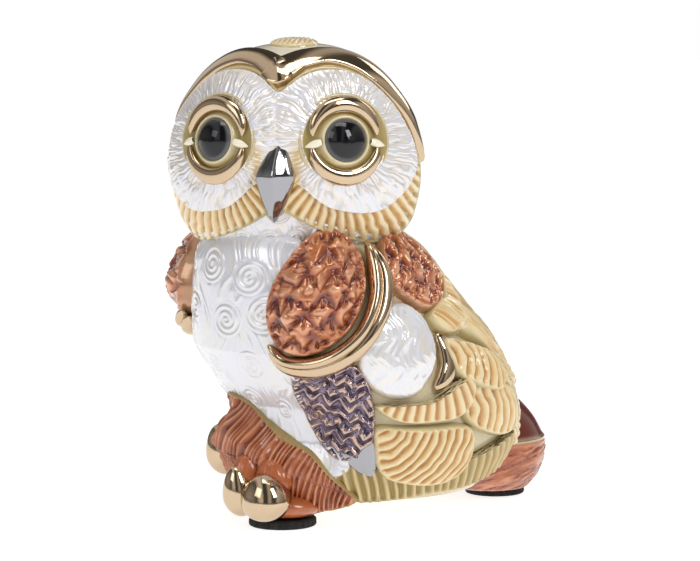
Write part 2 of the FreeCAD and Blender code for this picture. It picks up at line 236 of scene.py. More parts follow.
def on_chart(chart, across, up):
    form, rays = CHARTS[chart]
    points = form.cast(*rays(across, up))
    normals = form.normals(points)
    if chart == "body":
        points = points - normals * belly(across, up)[:, None]
    if chart == "leg":
        top = np.interp(np.abs(across), LEG_TOP_ACROSS, LEG_TOP_HEIGHT)
        tucked = 1 - smooth(0.0, 6.5, top - up)
        points = points - normals * (belly(across, up) * tucked)[:, None]
    return points, normals


def around(*places):
    """(azimuth in degrees, height) pairs on the body as chart millimetres."""
    return [(math.radians(azimuth) * BODY_REACH, height) for azimuth, height in places]


# ---------------------------------------------------------------- sheets and rolls
def grid_faces(rows, columns, wrap=False):
    r, c = np.meshgrid(np.arange(rows - 1), np.arange(columns if wrap else columns - 1),
                       indexing="ij")
    after = (c + 1) % columns
    return np.stack([r * columns + c, r * columns + after, (r + 1) * columns + after,
                     (r + 1) * columns + c], axis=-1).reshape(-1, 4)


def raised(points, normals, carving, height, grid, wrap=False):
    """A grid of points moved out along the normals, with the carving's colour marks."""
    points = points + normals * height[:, None]
    marks = {key: value for key, value in carving.items() if key != "height"}
    return points, outward_faces(points, grid_faces(*grid, wrap), normals), marks


def panel(chart, places, carving, grid, section):
    """A grid of chart points raised from its form and rounded over near its outline."""
    across, up, edge = places
    thickness, rim, sink = section
    t = np.clip(edge / rim, 0, 1)
    rise = np.sqrt(1 - (1 - t) ** 2)
    height = -sink + (thickness + sink) * rise + carving["height"] * smooth(0, rim, edge)
    return raised(*on_chart(chart, across, up), carving, height, grid)


def petal(chart, outline, relief, thickness, rim=1.2, cell=CELL, sink=0.9):
    """A panel with that outline. relief(across, up, edge) gives its carving.

    edge is the distance in from the outline. The panel rounds over within
    `rim` of its outline and dips under the form's surface there."""
    edge_points = curve(outline, 240, closed=True)[:-1]
    middle = (edge_points.max(axis=0) + edge_points.min(axis=0)) / 2
    spread = edge_points - middle
    angles = np.arctan2(spread[:, 1], spread[:, 0])
    order = np.argsort(angles)
    angles, reach = angles[order], np.hypot(spread[:, 0], spread[:, 1])[order]
    size = edge_points.max(axis=0) - edge_points.min(axis=0)
    across_count, up_count = (int(max(12, s / cell)) for s in size)
    u, v = np.meshgrid(np.linspace(-1, 1, across_count), np.linspace(-1, 1, up_count))
    x = (u * np.sqrt(1 - v * v / 2)).ravel() * size[0]
    y = (v * np.sqrt(1 - u * u / 2)).ravel() * size[1]
    inward = np.hypot(x / size[0], y / size[1])
    angle = np.arctan2(y, x)
    limit = np.interp(angle, angles, reach, period=TAU)
    across = middle[0] + inward * limit * np.cos(angle)
    up = middle[1] + inward * limit * np.sin(angle)
    edge = np.maximum((1 - inward) * limit, 0)
    return panel(chart, (across, up, edge), relief(across, up, edge),
                 (up_count, across_count), (thickness, rim, sink))


def ribbon(chart, middle_line, half_widths, relief, thickness, rim=0.7, cell=CELL, sink=0.6):
    """A panel that follows a line; relief(along, off, edge) gives its carving."""
    count = int(max(20, np.linalg.norm(np.diff(middle_line, axis=0), axis=1).sum() / cell))
    line = curve(middle_line, count)
    tangent = np.gradient(line, axis=0)
    tangent /= np.linalg.norm(tangent, axis=1)[:, None]
    sideways = np.stack([-tangent[:, 1], tangent[:, 0]], axis=1)
    along = np.linspace(0, 1, count)
    half = np.interp(along, np.linspace(0, 1, len(half_widths)), half_widths)
    columns = int(max(10, 2 * max(half_widths) / cell))
    off = np.linspace(-1, 1, columns)
    places = line[:, None, :] + sideways[:, None, :] * (half[:, None] * off[None, :])[..., None]
    across, up = places[..., 0].ravel(), places[..., 1].ravel()
    off_flat = np.tile(off, count)
    along_flat = np.repeat(along, columns)
    half_flat = np.repeat(half, columns)
    edge = (1 - np.abs(off_flat)) * half_flat
    edge = np.minimum(edge, np.minimum(along_flat, 1 - along_flat) * count * cell)
    return panel(chart, (across, up, edge), relief(along_flat, off_flat, edge),
                 (count, columns), (thickness, rim, sink))


def outward_faces(points, faces, normals):
    """Turn the faces round if they look inward."""
    a, b, c = points[faces[:, 0]], points[faces[:, 1]], points[faces[:, 2]]
    facing = (np.cross(b - a, c - a) * normals[faces[:, 0]]).sum()
    return faces if facing > 0 else faces[:, ::-1]


def roll(centres, normals, half_widths, half_heights, around_count=20):
    """A rounded bead along a line of points, flattened against the surface."""
    tangent = np.gradient(centres, axis=0)
    tangent /= np.linalg.norm(tangent, axis=1)[:, None]
    sideways = np.cross(tangent, normals)
    sideways /= np.linalg.norm(sideways, axis=1)[:, None]
    up = np.cross(sideways, tangent)
    angle = np.linspace(0, TAU, around_count, endpoint=False)
    ring = (sideways[:, None, :] * (np.cos(angle)[None, :] * half_widths[:, None])[..., None]
            + up[:, None, :] * (np.sin(angle)[None, :] * half_heights[:, None])[..., None])
    points = (centres[:, None, :] + ring).reshape(-1, 3)
    faces = grid_faces(len(centres), around_count, wrap=True)
    out = ring.reshape(-1, 3)
    return points, outward_faces(points, faces, out + 1e-6), {}


def bead(chart, line, width, height, lift, count=120, ends=0.12):
    """A roll on a form along chart points, tapering at both ends."""
    places = curve(line, count)
    points, normals = on_chart(chart, places[:, 0], places[:, 1])
    along = np.linspace(0, 1, count)
    taper = np.sqrt(np.clip(np.minimum(along, 1 - along) / ends, 0.0009, 1))
    taper = np.where(taper < 1, np.sin(taper * math.pi / 2), 1)
    return roll(points + normals * lift, normals, width * taper, height * taper)


def joined(*sheets):
    """Several sheets as one, with all of their marks."""
    keys = {key for sheet in sheets for key in sheet[2]}
    points, faces, offset = [], [], 0
    marks = {key: [] for key in keys}
    for sheet_points, sheet_faces, sheet_marks in sheets:
        points.append(sheet_points)
        faces.append(sheet_faces + offset)
        offset += len(sheet_points)
        for key in keys:
            marks[key].append(sheet_marks.get(key, np.zeros(len(sheet_points))))
    return np.vstack(points), np.vstack(faces), {k: np.concatenate(v) for k, v in marks.items()}


def new_object(name, data):
    item = bpy.data.objects.new(name, data)
    bpy.context.scene.collection.objects.link(item)
    return item


def add_piece(name, sheet, finish, *nodes, mirror=False):
    """Make the mesh object, in metres, hang it from the root body and hide the model's parts that
    it stands for.
    """
    material, slot = finish
    points, faces, marks = sheet
    points = points * (-1, 1, 1) if mirror else points
    faces = faces[:, ::-1] if mirror else faces
    mesh = bpy.data.meshes.new(name)
    mesh.vertices.add(len(points))
    mesh.vertices.foreach_set("co", (points * 0.001).astype(np.float32).ravel())
    mesh.loops.add(faces.size)
    mesh.loops.foreach_set("vertex_index", faces.astype(np.int32).ravel())
    mesh.polygons.add(len(faces))
    mesh.polygons.foreach_set("loop_start", np.arange(0, faces.size, 4, dtype=np.int32))
    mesh.polygons.foreach_set("use_smooth", np.ones(len(faces), bool))
    mesh.update(calc_edges=True)
    mesh.validate()
    for key in ("carve", "tint"):
        layer = mesh.attributes.new(key, "FLOAT", "POINT")
        values = marks.get(key, np.zeros(len(points)))
        layer.data.foreach_set("value", np.asarray(values, np.float32))
    mesh.materials.append(material)
    item = new_object(name, mesh)
    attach(item, "root")
    if nodes:
        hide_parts(*nodes)
    return item


def both(name, left_sheet, right_sheet, finish):
    """A piece on the left and its own version, mirrored, on the right."""
    add_piece(name + "_l", left_sheet, finish, name + "_left")
    add_piece(name + "_r", right_sheet, finish, name + "_right", mirror=True)


def pair(name, sheet, finish):
    """The same piece on the owl's left and, mirrored, on its right."""
    both(name, sheet, sheet, finish)


# ---------------------------------------------------------------- materials
def set_inputs(node, values):
    for name, value in values.items():
        node.inputs[name].default_value = value


def new_node(tree, kind, inputs=None, **settings):
    """A shader node with these settings and then these input values."""
    node = tree.nodes.new("ShaderNode" + kind)
    for name, value in settings.items():
        setattr(node, name, value)
    set_inputs(node, inputs or {})
    return node


def wire(source, output, target, name):
    """Link one node's output to another's input."""
    source.id_data.links.new(source.outputs[output], target.inputs[name])


def fill_ramp(ramp, stops):
    """Give a colour ramp its (position, colour) stops."""
    elements = ramp.color_ramp.elements
    while len(elements) < len(stops):
        elements.new(0.5)
    for element, (position, colour) in zip(elements, stops):
        element.position = position
        element.color = (*colour, 1)


BUMP_DISTANCE = 0.0004      # metres


def glaze(name, stops, tint=(0.5, 0.5, 0.5), metallic=0.0, roughness=(0.08, 0.2), coat=0.5,
          mottle_and_sheen=0.25, mottle_and_sheen_scale=420.0, grain=0.06, grain_scale=2600.0, tint_metallic=None):
    """A fired glaze, as its material and its slot. Colour follows the carving depth, shifted by
    noise: random colour patches, and on the pearl glaze painted iridescent sheen.

    stops are (carve, colour) pairs; `tint` is the colour where the mesh's tint is 1."""
    material = bpy.data.materials.new(name)
    material.use_nodes = True
    tree = material.node_tree
    shader = tree.nodes["Principled BSDF"]
    where = new_node(tree, "TexCoord")
    carve = new_node(tree, "Attribute", attribute_name="carve")
    # noise for colour patches and roughness; on the pearl glaze these colour patches are painted
    # iridescent sheen
    patches_and_sheen = new_node(tree, "TexNoise", {"Scale": mottle_and_sheen_scale, "Detail": 5.0})
    wire(where, "Object", patches_and_sheen, "Vector")
    centred = new_node(tree, "Math", {1: 0.5}, operation="SUBTRACT")
    wire(patches_and_sheen, "Fac", centred, 0)
    mixed = new_node(tree, "Math", {1: mottle_and_sheen * 2}, operation="MULTIPLY_ADD")
    wire(centred, 0, mixed, 0)
    wire(carve, "Fac", mixed, 2)
    ramp = new_node(tree, "ValToRGB")
    fill_ramp(ramp, stops)
    wire(mixed, 0, ramp, "Fac")
    tinted = new_node(tree, "Mix", {"B": (*tint, 1)}, data_type="RGBA")
    tint_mark = new_node(tree, "Attribute", attribute_name="tint")
    wire(tint_mark, "Fac", tinted, "Factor")
    wire(ramp, "Color", tinted, "A")
    wire(tinted, "Result", shader, "Base Color")
    polish = new_node(tree, "MapRange", {"To Min": roughness[0], "To Max": roughness[1]})
    wire(patches_and_sheen, "Fac", polish, "Value")
    wire(polish, "Result", shader, "Roughness")
    grains = new_node(tree, "TexNoise", {"Scale": grain_scale, "Detail": 3.0})
    wire(where, "Object", grains, "Vector")
    bump = new_node(tree, "Bump", {"Strength": grain, "Distance": BUMP_DISTANCE})
    wire(grains, "Fac", bump, "Height")
    wire(bump, "Normal", shader, "Normal")
    set_inputs(shader, {"Metallic": metallic, "Coat Weight": coat, "Coat Roughness": 0.05,
                        "IOR": 1.5})
    if tint_metallic is not None:
        metal = new_node(tree, "MapRange", {"To Min": metallic, "To Max": tint_metallic})
        wire(tint_mark, "Fac", metal, "Value")
        wire(metal, "Result", shader, "Metallic")
    return material, name


OLIVE = (0.33, 0.27, 0.09)
GOLD = glaze("gold_lustre", [(0.0, (0.60, 0.46, 0.31)), (1.0, (0.40, 0.26, 0.14))],
             tint=(0.25, 0.10, 0.04), metallic=1.0, roughness=(0.05, 0.12), coat=0.0,
             mottle_and_sheen=0.15, grain=0.03)
PLATINUM = glaze("platinum_lustre", [(0.0, (0.37, 0.37, 0.39)), (1.0, (0.28, 0.27, 0.29))],
                 tint=(0.60, 0.42, 0.16), metallic=1.0, roughness=(0.04, 0.10), coat=0.0,
                 mottle_and_sheen=0.1, grain=0.02)
# The pearl's lavender and peach stops, spread in patches by the noise, are painted iridescent sheen
# in place of the lustre's play of light.
PEARL = glaze("pearl_glaze", [(0.0, (0.80, 0.78, 0.74)), (0.35, (0.75, 0.76, 0.83)),
                              (0.6, (0.84, 0.77, 0.70)), (1.0, (0.56, 0.58, 0.62))],
              tint=(0.70, 0.52, 0.26), metallic=0.25, roughness=(0.10, 0.24), coat=0.8,
              mottle_and_sheen=0.45, mottle_and_sheen_scale=150.0, grain=0.10)
RUFF = glaze("ruff_glaze", [(0.0, (0.80, 0.66, 0.40)), (0.45, (0.76, 0.48, 0.20)),
                            (1.0, (0.42, 0.24, 0.07))],
             tint=OLIVE, roughness=(0.08, 0.22), mottle_and_sheen=0.2)
COPPER = glaze("copper_glaze", [(0.0, (0.74, 0.38, 0.22)), (0.3, (0.52, 0.17, 0.06)),
                                (0.65, (0.24, 0.05, 0.02)), (1.0, (0.09, 0.015, 0.012))],
               tint=(0.45, 0.26, 0.14), metallic=0.35, roughness=(0.07, 0.2), coat=0.9,
               mottle_and_sheen=0.25, mottle_and_sheen_scale=500.0)
VIOLET = glaze("violet_lustre", [(0.0, (0.55, 0.40, 0.33)), (0.3, (0.40, 0.29, 0.28)),
                                 (0.6, (0.19, 0.15, 0.23)), (1.0, (0.05, 0.03, 0.035))],
               tint=(0.45, 0.30, 0.12), metallic=0.85, roughness=(0.08, 0.2), coat=0.5,
               mottle_and_sheen=0.4, mottle_and_sheen_scale=330.0)
FEATHER = glaze("feather_glaze", [(0.0, (0.80, 0.68, 0.42)), (0.4, (0.76, 0.54, 0.26)),
                                  (0.75, (0.60, 0.34, 0.12)), (1.0, (0.40, 0.20, 0.07))],
                tint=OLIVE, roughness=(0.10, 0.28), coat=0.35, mottle_and_sheen=0.12)
CREAM_GLAZE = glaze("cream_glaze", [(0.0, (0.87, 0.80, 0.63)), (0.5, (0.66, 0.52, 0.27)),
                                    (1.0, (0.36, 0.26, 0.09))],
                    tint=OLIVE, roughness=(0.08, 0.22), mottle_and_sheen=0.12)
LEG = glaze("leg_glaze", [(0.0, (0.62, 0.27, 0.13)), (0.35, (0.44, 0.12, 0.04)),
                          (1.0, (0.17, 0.035, 0.015))],
            tint=OLIVE, roughness=(0.12, 0.3), coat=0.4, mottle_and_sheen=0.25)
TAIL = glaze("tail_glaze", [(0.0, (0.125, 0.018, 0.009)), (1.0, (0.06, 0.008, 0.005))],
             tint=(0.62, 0.48, 0.30), roughness=(0.04, 0.10), coat=0.4, mottle_and_sheen=0.12,
             tint_metallic=0.9)
BLACK = glaze("black_glaze", [(0.0, (0.004, 0.004, 0.006)), (1.0, (0.012, 0.012, 0.016))],
              roughness=(0.03, 0.06), coat=0.0, mottle_and_sheen=0.1, grain=0.0)
FELT = glaze("felt", [(0.0, (0.012, 0.012, 0.012)), (1.0, (0.035, 0.033, 0.03))],
             roughness=(0.85, 1.0), coat=0.0, mottle_and_sheen=0.8, mottle_and_sheen_scale=2200.0, grain=1.0,
             grain_scale=5200.0)


# ---------------------------------------------------------------- carved patterns
def stroke(x, y, start, end, wide, thin):
    """Depth 0 to 1 of a tapering V cut between two points."""
    dx, dy = end[0] - start[0], end[1] - start[1]
    t = np.clip(((x - start[0]) * dx + (y - start[1]) * dy) / (dx * dx + dy * dy), 0, 1)
    away = np.hypot(x - start[0] - t * dx, y - start[1] - t * dy)
    width = wide + (thin - wide) * t
    return np.clip(1 - away / width, 0, 1) * (1 - 0.35 * t)


def cells(x, y, wide, tall, row_steps=(-1, 0, 1)):
    """Column, row and stagger of the staggered lattice cells round each point."""
    row0 = np.floor(y / tall).astype(np.int64)
    for row_step in row_steps:
        row = row0 + row_step
        shift = (row % 2) * 0.5
        column0 = np.floor(x / wide - shift).astype(np.int64)
        for column_step in (-1, 0, 1):
            yield column0 + column_step, row, shift


def jitters(column, row, seed):
    """Four random numbers from -0.5 to 0.5 for each cell."""
    return [lattice(column, row, seed + k) - 0.5 for k in range(4)]


def chisel_marks(x, y, wide, tall, seed, spread=0.55, fatness=0.24):
    """Rows of arrowhead cuts, each one turned and moved a little."""
    deepest = np.zeros_like(x)
    top = (0.0, 0.42 * tall)
    ends = ((-spread * wide, -0.42 * tall), (spread * wide, -0.42 * tall),
            (0.02 * wide, -0.2 * tall))
    for column, row, shift in cells(x, y, wide, tall):
        jitter = jitters(column, row, seed)
        cx = (column + 0.5 + shift + 0.28 * jitter[0]) * wide
        cy = (row + 0.5 + 0.28 * jitter[1]) * tall
        angle = 0.7 * jitter[2]
        scale = 1.0 + 0.35 * jitter[3]
        dx, dy = (x - cx) / scale, (y - cy) / scale
        px = dx * np.cos(angle) + dy * np.sin(angle)
        py = dy * np.cos(angle) - dx * np.sin(angle)
        for end in ends:
            cut = stroke(px, py, top, end, fatness * wide, 0.07 * wide)
            deepest = np.maximum(deepest, cut)
    return deepest


def curls(x, y, spacing, radius, seed, pitch=1.25):
    """Raised spiral curls on a staggered lattice, with loose strands between."""
    best = np.full_like(x, 9.0)
    ridge = np.zeros_like(x)
    for column, row, shift in cells(x, y, spacing, spacing):
        jitter = jitters(column, row, seed)
        dx = x - (column + 0.5 + shift + 0.3 * jitter[0]) * spacing
        dy = y - (row + 0.5 + 0.3 * jitter[1]) * spacing
        size = radius * (1 + 0.5 * jitter[2])
        away = np.hypot(dx, dy) / size
        hand = np.where(jitter[3] > 0, 1.0, -1.0)
        turn = np.arctan2(dy, dx) / TAU
        wave = 0.5 + 0.5 * np.cos(TAU * (away * size / pitch - hand * turn + 3 * jitter[2]))
        take = away < best
        ridge = np.where(take, wave ** 1.5 * (1 - smooth(0.85, 1.15, away)), ridge)
        best = np.where(take, away, best)
    bend = 1.4 * np.sin(y * 0.42 + x * 0.2) + 2.0 * noise(x * 0.2, y * 0.2, seed + 7)
    strand = 1 - folded((x + bend) * 0.95, y * 0.16, seed + 9)
    return np.maximum(ridge, 0.75 * strand ** 3 * smooth(1.0, 1.3, best))


def ribs(phase, sharp=1.0):
    """0 on the crest of each rib and 1 in the cut between two."""
    return (0.5 - 0.5 * np.cos(TAU * phase)) ** sharp


def plumes(x, y, wide, tall, barb=1.5):
    """Overlapping rounded feathers that point down, with slanting barbs."""
    height = np.full_like(x, -9.0)
    carve = np.zeros_like(x)
    half = 0.56 * wide
    for column, row, shift in cells(x, y, wide, tall, (-1, 0, 1, 2)):
        dx = x - (column + 0.5 + shift) * wide
        dy = y - row * tall
        reach = np.sqrt(np.clip(1 - (dx / half) ** 2, 0, 1)) * 0.75 * tall
        inside = (dy > -reach) & (dy < 1.6 * tall) & (np.abs(dx) < half)
        lift = 0.75 - 0.42 * (dy + reach) / tall - 1.1 * (dx / wide) ** 2
        rim = smooth(0.0, 0.7, dy + reach)
        cut = ribs((dy - 0.8 * np.abs(dx)) / barb, 1.5) * smooth(0.2, 1.2, dy + reach)
        shaft = 1 - smooth(0.1, 0.55, np.abs(dx))
        level = lift * (0.45 + 0.55 * rim) - 0.3 * cut + 0.25 * shaft
        take = inside & (level > height)
        height = np.where(take, level, height)
        carve = np.where(take, np.maximum(cut * (1 - shaft), 1 - rim), carve)
    low = height < -5
    return np.where(low, -0.3, height), np.where(low, 1.0, carve)


# ---------------------------------------------------------------- head
EYE_ACROSS, EYE_UP, EYE_HOLE = 15.6, 6.4, 9.2


def nearest_eye(across, up):
    """Angle and distance from the nearer eye, measured on the face."""
    dx = np.abs(across) - EYE_ACROSS
    dy = up - EYE_UP
    return np.arctan2(dy, dx), np.hypot(dx, dy)


def mask_relief(across, up, edge):
    angle, away = nearest_eye(across, up)
    warp = 0.9 * noise(away * 0.35, angle * 3, 5)
    hair = noise((angle / TAU) * 88 + warp * 2.4, away * 0.20, 11, period=88)
    fine = noise((angle / TAU) * 170 + warp * 3, away * 0.36, 12, period=170)
    hair = 0.6 * np.abs(2 * hair - 1) ** 0.7 + 0.4 * np.abs(2 * fine - 1) ** 0.7
    dish = -0.6 * np.exp(-((away - EYE_HOLE) / 4.0) ** 2)
    brim = smooth(0.0, 1.3, away - EYE_HOLE)
    bridge = 0.5 * np.exp(-(across / 3.2) ** 2) * smooth(2, 9, up)
    height = dish + 0.5 * (hair - 0.45) * brim + bridge
    height = height - 3.5 * (1 - smooth(-0.5, 0.5, away - EYE_HOLE))
    beak_side = np.exp(-((np.abs(across) - 4.6) / 1.3) ** 2) * smooth(7, 3, up)
    border = np.maximum(1 - smooth(0.0, 1.5, edge + 0.9 * hair), 0.9 * beak_side)
    border = np.maximum(border, 0.8 * (1 - smooth(0.0, 0.9, away - EYE_HOLE)))
    return {"height": height, "carve": 1 - hair, "tint": border}


def ruff_relief(across, up, edge):
    angle, away = nearest_eye(across, up)
    spokes = ribs(angle / math.radians(6.6) + 0.25 * noise(away * 0.5, angle * 4, 3), 2.2)
    below = smooth(6, 0, up)
    inside = smooth(1.0, 2.4, edge)
    cut = spokes * inside * below
    rim = 1 - inside
    under_mask = np.maximum(1 - smooth(12.0, 13.5, away),
                            smooth(1.6, 2.6, edge) * smooth(-2, 4, up))
    olive = 0.75 * rim * smooth(0.0, 0.9, edge) + 0.45 * cut * smooth(3, 1, edge - 2)
    return {"height": -0.75 * cut + 0.15 * rim - 2.0 * under_mask,
            "carve": cut * (0.6 + 0.5 * noise(across, up, 8)), "tint": np.clip(olive, 0, 1)}


def halves(points):
    """Half an outline, on the owl's left, and its mirror image as one closed outline."""
    return points + [(-across, up) for across, up in reversed(points) if across > 0]


WHITE_EDGE = halves([
    (0.0, 17.2), (2.0, 18.6), (4.9, 21.0), (9.4, 22.9), (15.0, 23.2), (20.0, 21.7),
    (25.3, 18.0), (29.5, 12.7), (33.5, 7.0), (35.0, 1.0), (33.0, -4.0), (29.6, -7.6),
    (26.0, -10.2), (21.7, -11.4), (17.1, -11.0), (12.5, -9.8), (9.0, -7.4), (5.5, -4.4),
    (0.0, -3.0)])
RUFF_EDGE = halves([
    (0.0, 18.2), (2.3, 20.2), (6.5, 23.4), (11.2, 24.7), (16.1, 24.2), (21.8, 21.6),
    (27.5, 16.7), (32.0, 10.4), (36.0, 4.0), (37.8, -3.0), (37.6, -10.0), (35.5, -17.0),
    (31.0, -20.6), (24.0, -20.6), (17.0, -18.2), (10.5, -15.6), (5.5, -13.2), (0.0, -10.6)])

add_piece("face_ruff_glazed",
          petal("face", RUFF_EDGE, ruff_relief, 1.1, rim=1.3, cell=FINE), RUFF, "face_ruff")
add_piece("face_mask_glazed",
          petal("face", WHITE_EDGE, mask_relief, 1.5, rim=0.9, cell=FINE), PEARL, "face_mask")


def brow_relief(along, off, edge):
    fold = np.exp(-np.abs(along - 0.5) / 0.014)
    return {"height": 0.45 * (1 - off ** 2) + 0.7 * fold, "carve": 0 * off, "tint": 0 * off}


BROW_SHIFT = -0.6
BROW_HALF = [(41.0, 0.0), (39.6, 5.0), (36.4, 10.8), (31.8, 17.4), (26.3, 23.0), (19.5, 27.2),
             (12.2, 28.4), (5.6, 26.5), (1.6, 23.8)]
BROW_LINE = ([(x + BROW_SHIFT, y) for x, y in BROW_HALF] + [(2 * BROW_SHIFT, 22.2)]
             + [(-x + 2 * BROW_SHIFT, y) for x, y in reversed(BROW_HALF)])
BROW_HALF_WIDTHS = [0.3, 1.4, 2.2, 2.8, 3.2, 3.5, 3.4, 3.1, 3.2, 3.9]
BROW_WIDTHS = BROW_HALF_WIDTHS + BROW_HALF_WIDTHS[-2::-1]
add_piece("brow_band_glazed", ribbon("face", BROW_LINE, BROW_WIDTHS, brow_relief, 0.9), GOLD,
          "brow_band")


def crown_relief(across, up, edge):
    cut = ribs(across / 1.5 + 0.4 * noise(across, up * 0.5, 4), 1.5) * smooth(0.5, 1.5, edge)
    return {"height": 0.4 * smooth(0, 4, edge) - 0.3 * cut, "carve": 0.45 * cut - 0.15,
            "tint": 0.5 * (1 - smooth(0.2, 0.9, edge))}


CROWN_EDGE = [(-7.0, 34.0), (0.0, 31.4), (7.0, 34.0), (6.6, 40.0), (0.0, 43.0), (-6.6, 40.0)]
add_piece("crown_patch_glazed", petal("face", CROWN_EDGE, crown_relief, 0.7, rim=1.4), RUFF,
          "crown_patch")


def shell(form, low, high, rows, columns, relief):
    """The whole surface of a form between two heights."""
    heights = np.linspace(low, high, rows)
    angle = np.linspace(0, TAU, columns, endpoint=False)
    z, a = np.meshgrid(heights, angle, indexing="ij")
    z, a = z.ravel(), a.ravel()
    centre = np.interp(z, form.heights, form.centre)
    wide = np.sqrt(np.maximum(np.interp(z, form.heights, form.wide), 1e-4))
    deep = np.sqrt(np.maximum(np.interp(z, form.heights, form.deep), 1e-4))
    points = form.place(wide * np.sin(a), deep * np.cos(a) - centre, z)
    normals = form.normals(points)
    across = np.arctan2(points[:, 0], BODY_AXIS[1] - points[:, 1]) * BODY_REACH
    carving = relief(a, z, across)
    return raised(points, normals, carving, carving["height"], (rows, columns), wrap=True)


def nape_relief(angle, height, across):
    """Feathers on the back of the head; the brow and crown stay smooth."""
    behind = smooth(0.1, -0.25, np.cos(angle))
    rise, carve = plumes((angle - math.pi) * 24.0, height * 1.05, 7.0, 6.0, barb=1.3)
    top = smooth(95.5, 91.0, height)
    amount = behind * top
    return {"height": 0.75 * amount * rise, "carve": carve * amount * 0.85,
            "tint": 0.3 * amount * carve}


add_piece("head_shell_glazed", shell(HEAD, 54.62, 98.69, int(44 / CELL), int(170 / CELL),
                                     nape_relief), CREAM_GLAZE, "head_shell")


EYE_CURVE = 52.0            # an eye's face falls away by its radius squared over this


def eye_plane(sign):
    """Origin, sideways, up and outward directions of an eye's own plane."""
    point, normal = on_chart("face", np.array([sign * EYE_ACROSS]), np.array([EYE_UP]))
    outward = normal[0]
    upward = UPRIGHT - outward * outward[2]
    upward /= np.linalg.norm(upward)
    return point[0] + 0.9 * outward, np.cross(upward, outward), upward, outward


def on_eye(plane, *distances):
    """Points from distances sideways, up and outward on an eye's plane."""
    points, *directions = plane
    for direction, distance in zip(directions, distances):
        points = points + direction * distance.reshape(-1, 1)
    return points


def turned_ring(plane, profile, count=120):
    """A surface of revolution about an eye's outward direction."""
    outward = plane[3]
    line = curve(profile, 60)
    angle = np.linspace(0, TAU, count, endpoint=False)
    r, a = np.meshgrid(line[:, 0], angle, indexing="ij")
    h, _ = np.meshgrid(line[:, 1], angle, indexing="ij")
    droop = np.maximum(r, 0) ** 2 / EYE_CURVE
    points = on_eye(plane, r * np.cos(a), r * np.sin(a), h - droop)
    faces = grid_faces(len(line), count, wrap=True)
    normals = np.repeat(outward[None, :], len(points), axis=0)
    depth = np.clip(-(h - 0.9) / 1.4, 0, 1).ravel()
    return points, outward_faces(points, faces, normals), {"carve": depth, "tint": 0.7 * depth}


def lid(plane, start, end, radius, width, height, lift):
    """A roll along an arc of the eye, from the start angle to the end angle in degrees."""
    _, sideways, upward, outward = plane
    t = np.linspace(0, 1, 90)
    angle = np.radians(start + (end - start) * t)
    swell = np.sin(math.pi * np.clip(t, 0.004, 0.996)) ** 0.5
    r = radius - 0.6 * (1 - swell)
    points = on_eye(plane, r * np.cos(angle), r * np.sin(angle), lift - r ** 2 / EYE_CURVE)
    spread = sideways * np.cos(angle)[:, None] + upward * np.sin(angle)[:, None]
    normals = outward + 0.32 * spread
    normals /= np.linalg.norm(normals, axis=1)[:, None]
    return roll(points, normals, width * swell, height * swell, 24)


def canthus(plane, hand):
    """The pointed fold in a corner of the eye, between the two lids."""
    t = np.linspace(0, 1, 40)
    r = 5.2 + 3.2 * t
    points = on_eye(plane, hand * r, -(0.3 + 0.9 * t), 0.55 - r ** 2 / EYE_CURVE)
    size = 0.8 * np.sin(math.pi * np.clip(0.25 + 0.75 * t, 0, 0.985)) ** 0.8
    return roll(points, np.repeat(plane[3][None, :], len(t), axis=0), size, 0.85 * size, 16)


RING_PROFILE = [(4.0, -0.6), (4.5, 0.45), (4.85, 0.55), (5.3, 0.1), (6.1, -0.4), (7.6, -0.4),
                (8.8, 0.0), (9.2, 0.4), (9.6, 0.2), (10.0, -1.0)]
DOME_PROFILE = [(0.0001, 2.0), (1.6, 1.8), (3.0, 1.25), (4.1, 0.45), (4.7, -0.5)]
# start and end in degrees, radius, half width, half height, lift
LIDS = {"upper": (8, 172, 7.3, 1.75, 1.5, 0.25), "lower": (190, 350, 7.5, 1.75, 1.2, 0.2)}
for side, sign in (("left", 1), ("right", -1)):
    own = eye_plane(sign)
    ring = joined(turned_ring(own, RING_PROFILE), canthus(own, 1), canthus(own, -1))
    add_piece("eye_%s_glazed" % side, turned_ring(own, DOME_PROFILE), BLACK, "eye_" + side)
    add_piece("eye_ring_%s_glazed" % side, ring, CREAM_GLAZE, "eye_ring_" + side)
    for which, sizes in LIDS.items():
        node = "%s_eyelid_%s" % (which, side)
        add_piece(node + "_glazed", lid(own, *sizes), GOLD, node)


def beak_sheet():
    """A long drop with a crease across its widest part."""
    sections = curve([(81.0, 20.4, 0.2, 0.2, 0.7), (78.4, 22.4, 1.5, 1.2, 0.5),
                      (75.4, 24.3, 2.9, 2.0, 0.2), (72.6, 25.6, 4.0, 2.7, 0.0),
                      (70.4, 25.0, 3.7, 2.8, -0.2), (67.0, 23.5, 2.5, 2.5, -0.5),
                      (64.0, 21.8, 1.0, 1.6, -0.8), (62.9, 20.4, 0.2, 0.4, -0.9)], 90)
    angle = np.linspace(-0.55 * math.pi, 0.55 * math.pi, 50)
    z, front, half, deep, shift = (np.repeat(sections[:, k], len(angle)) for k in range(5))
    a = np.tile(angle, len(sections))
    crest = 1 + 0.12 * np.exp(-(a / 0.22) ** 2) - 0.10 * np.exp(-((np.abs(a) - 0.6) / 0.3) ** 2)
    points = HEAD.place(half * np.sin(a) + shift, front - deep + deep * np.cos(a) * crest, z)
    normals = HEAD.side * np.sin(a)[:, None] + HEAD.front * np.cos(a)[:, None]
    faces = outward_faces(points, grid_faces(len(sections), len(angle)), normals)
    return points, faces, {"tint": smooth(1.15, 1.45, np.abs(a))}


add_piece("beak_glazed", beak_sheet(), PLATINUM, "beak")


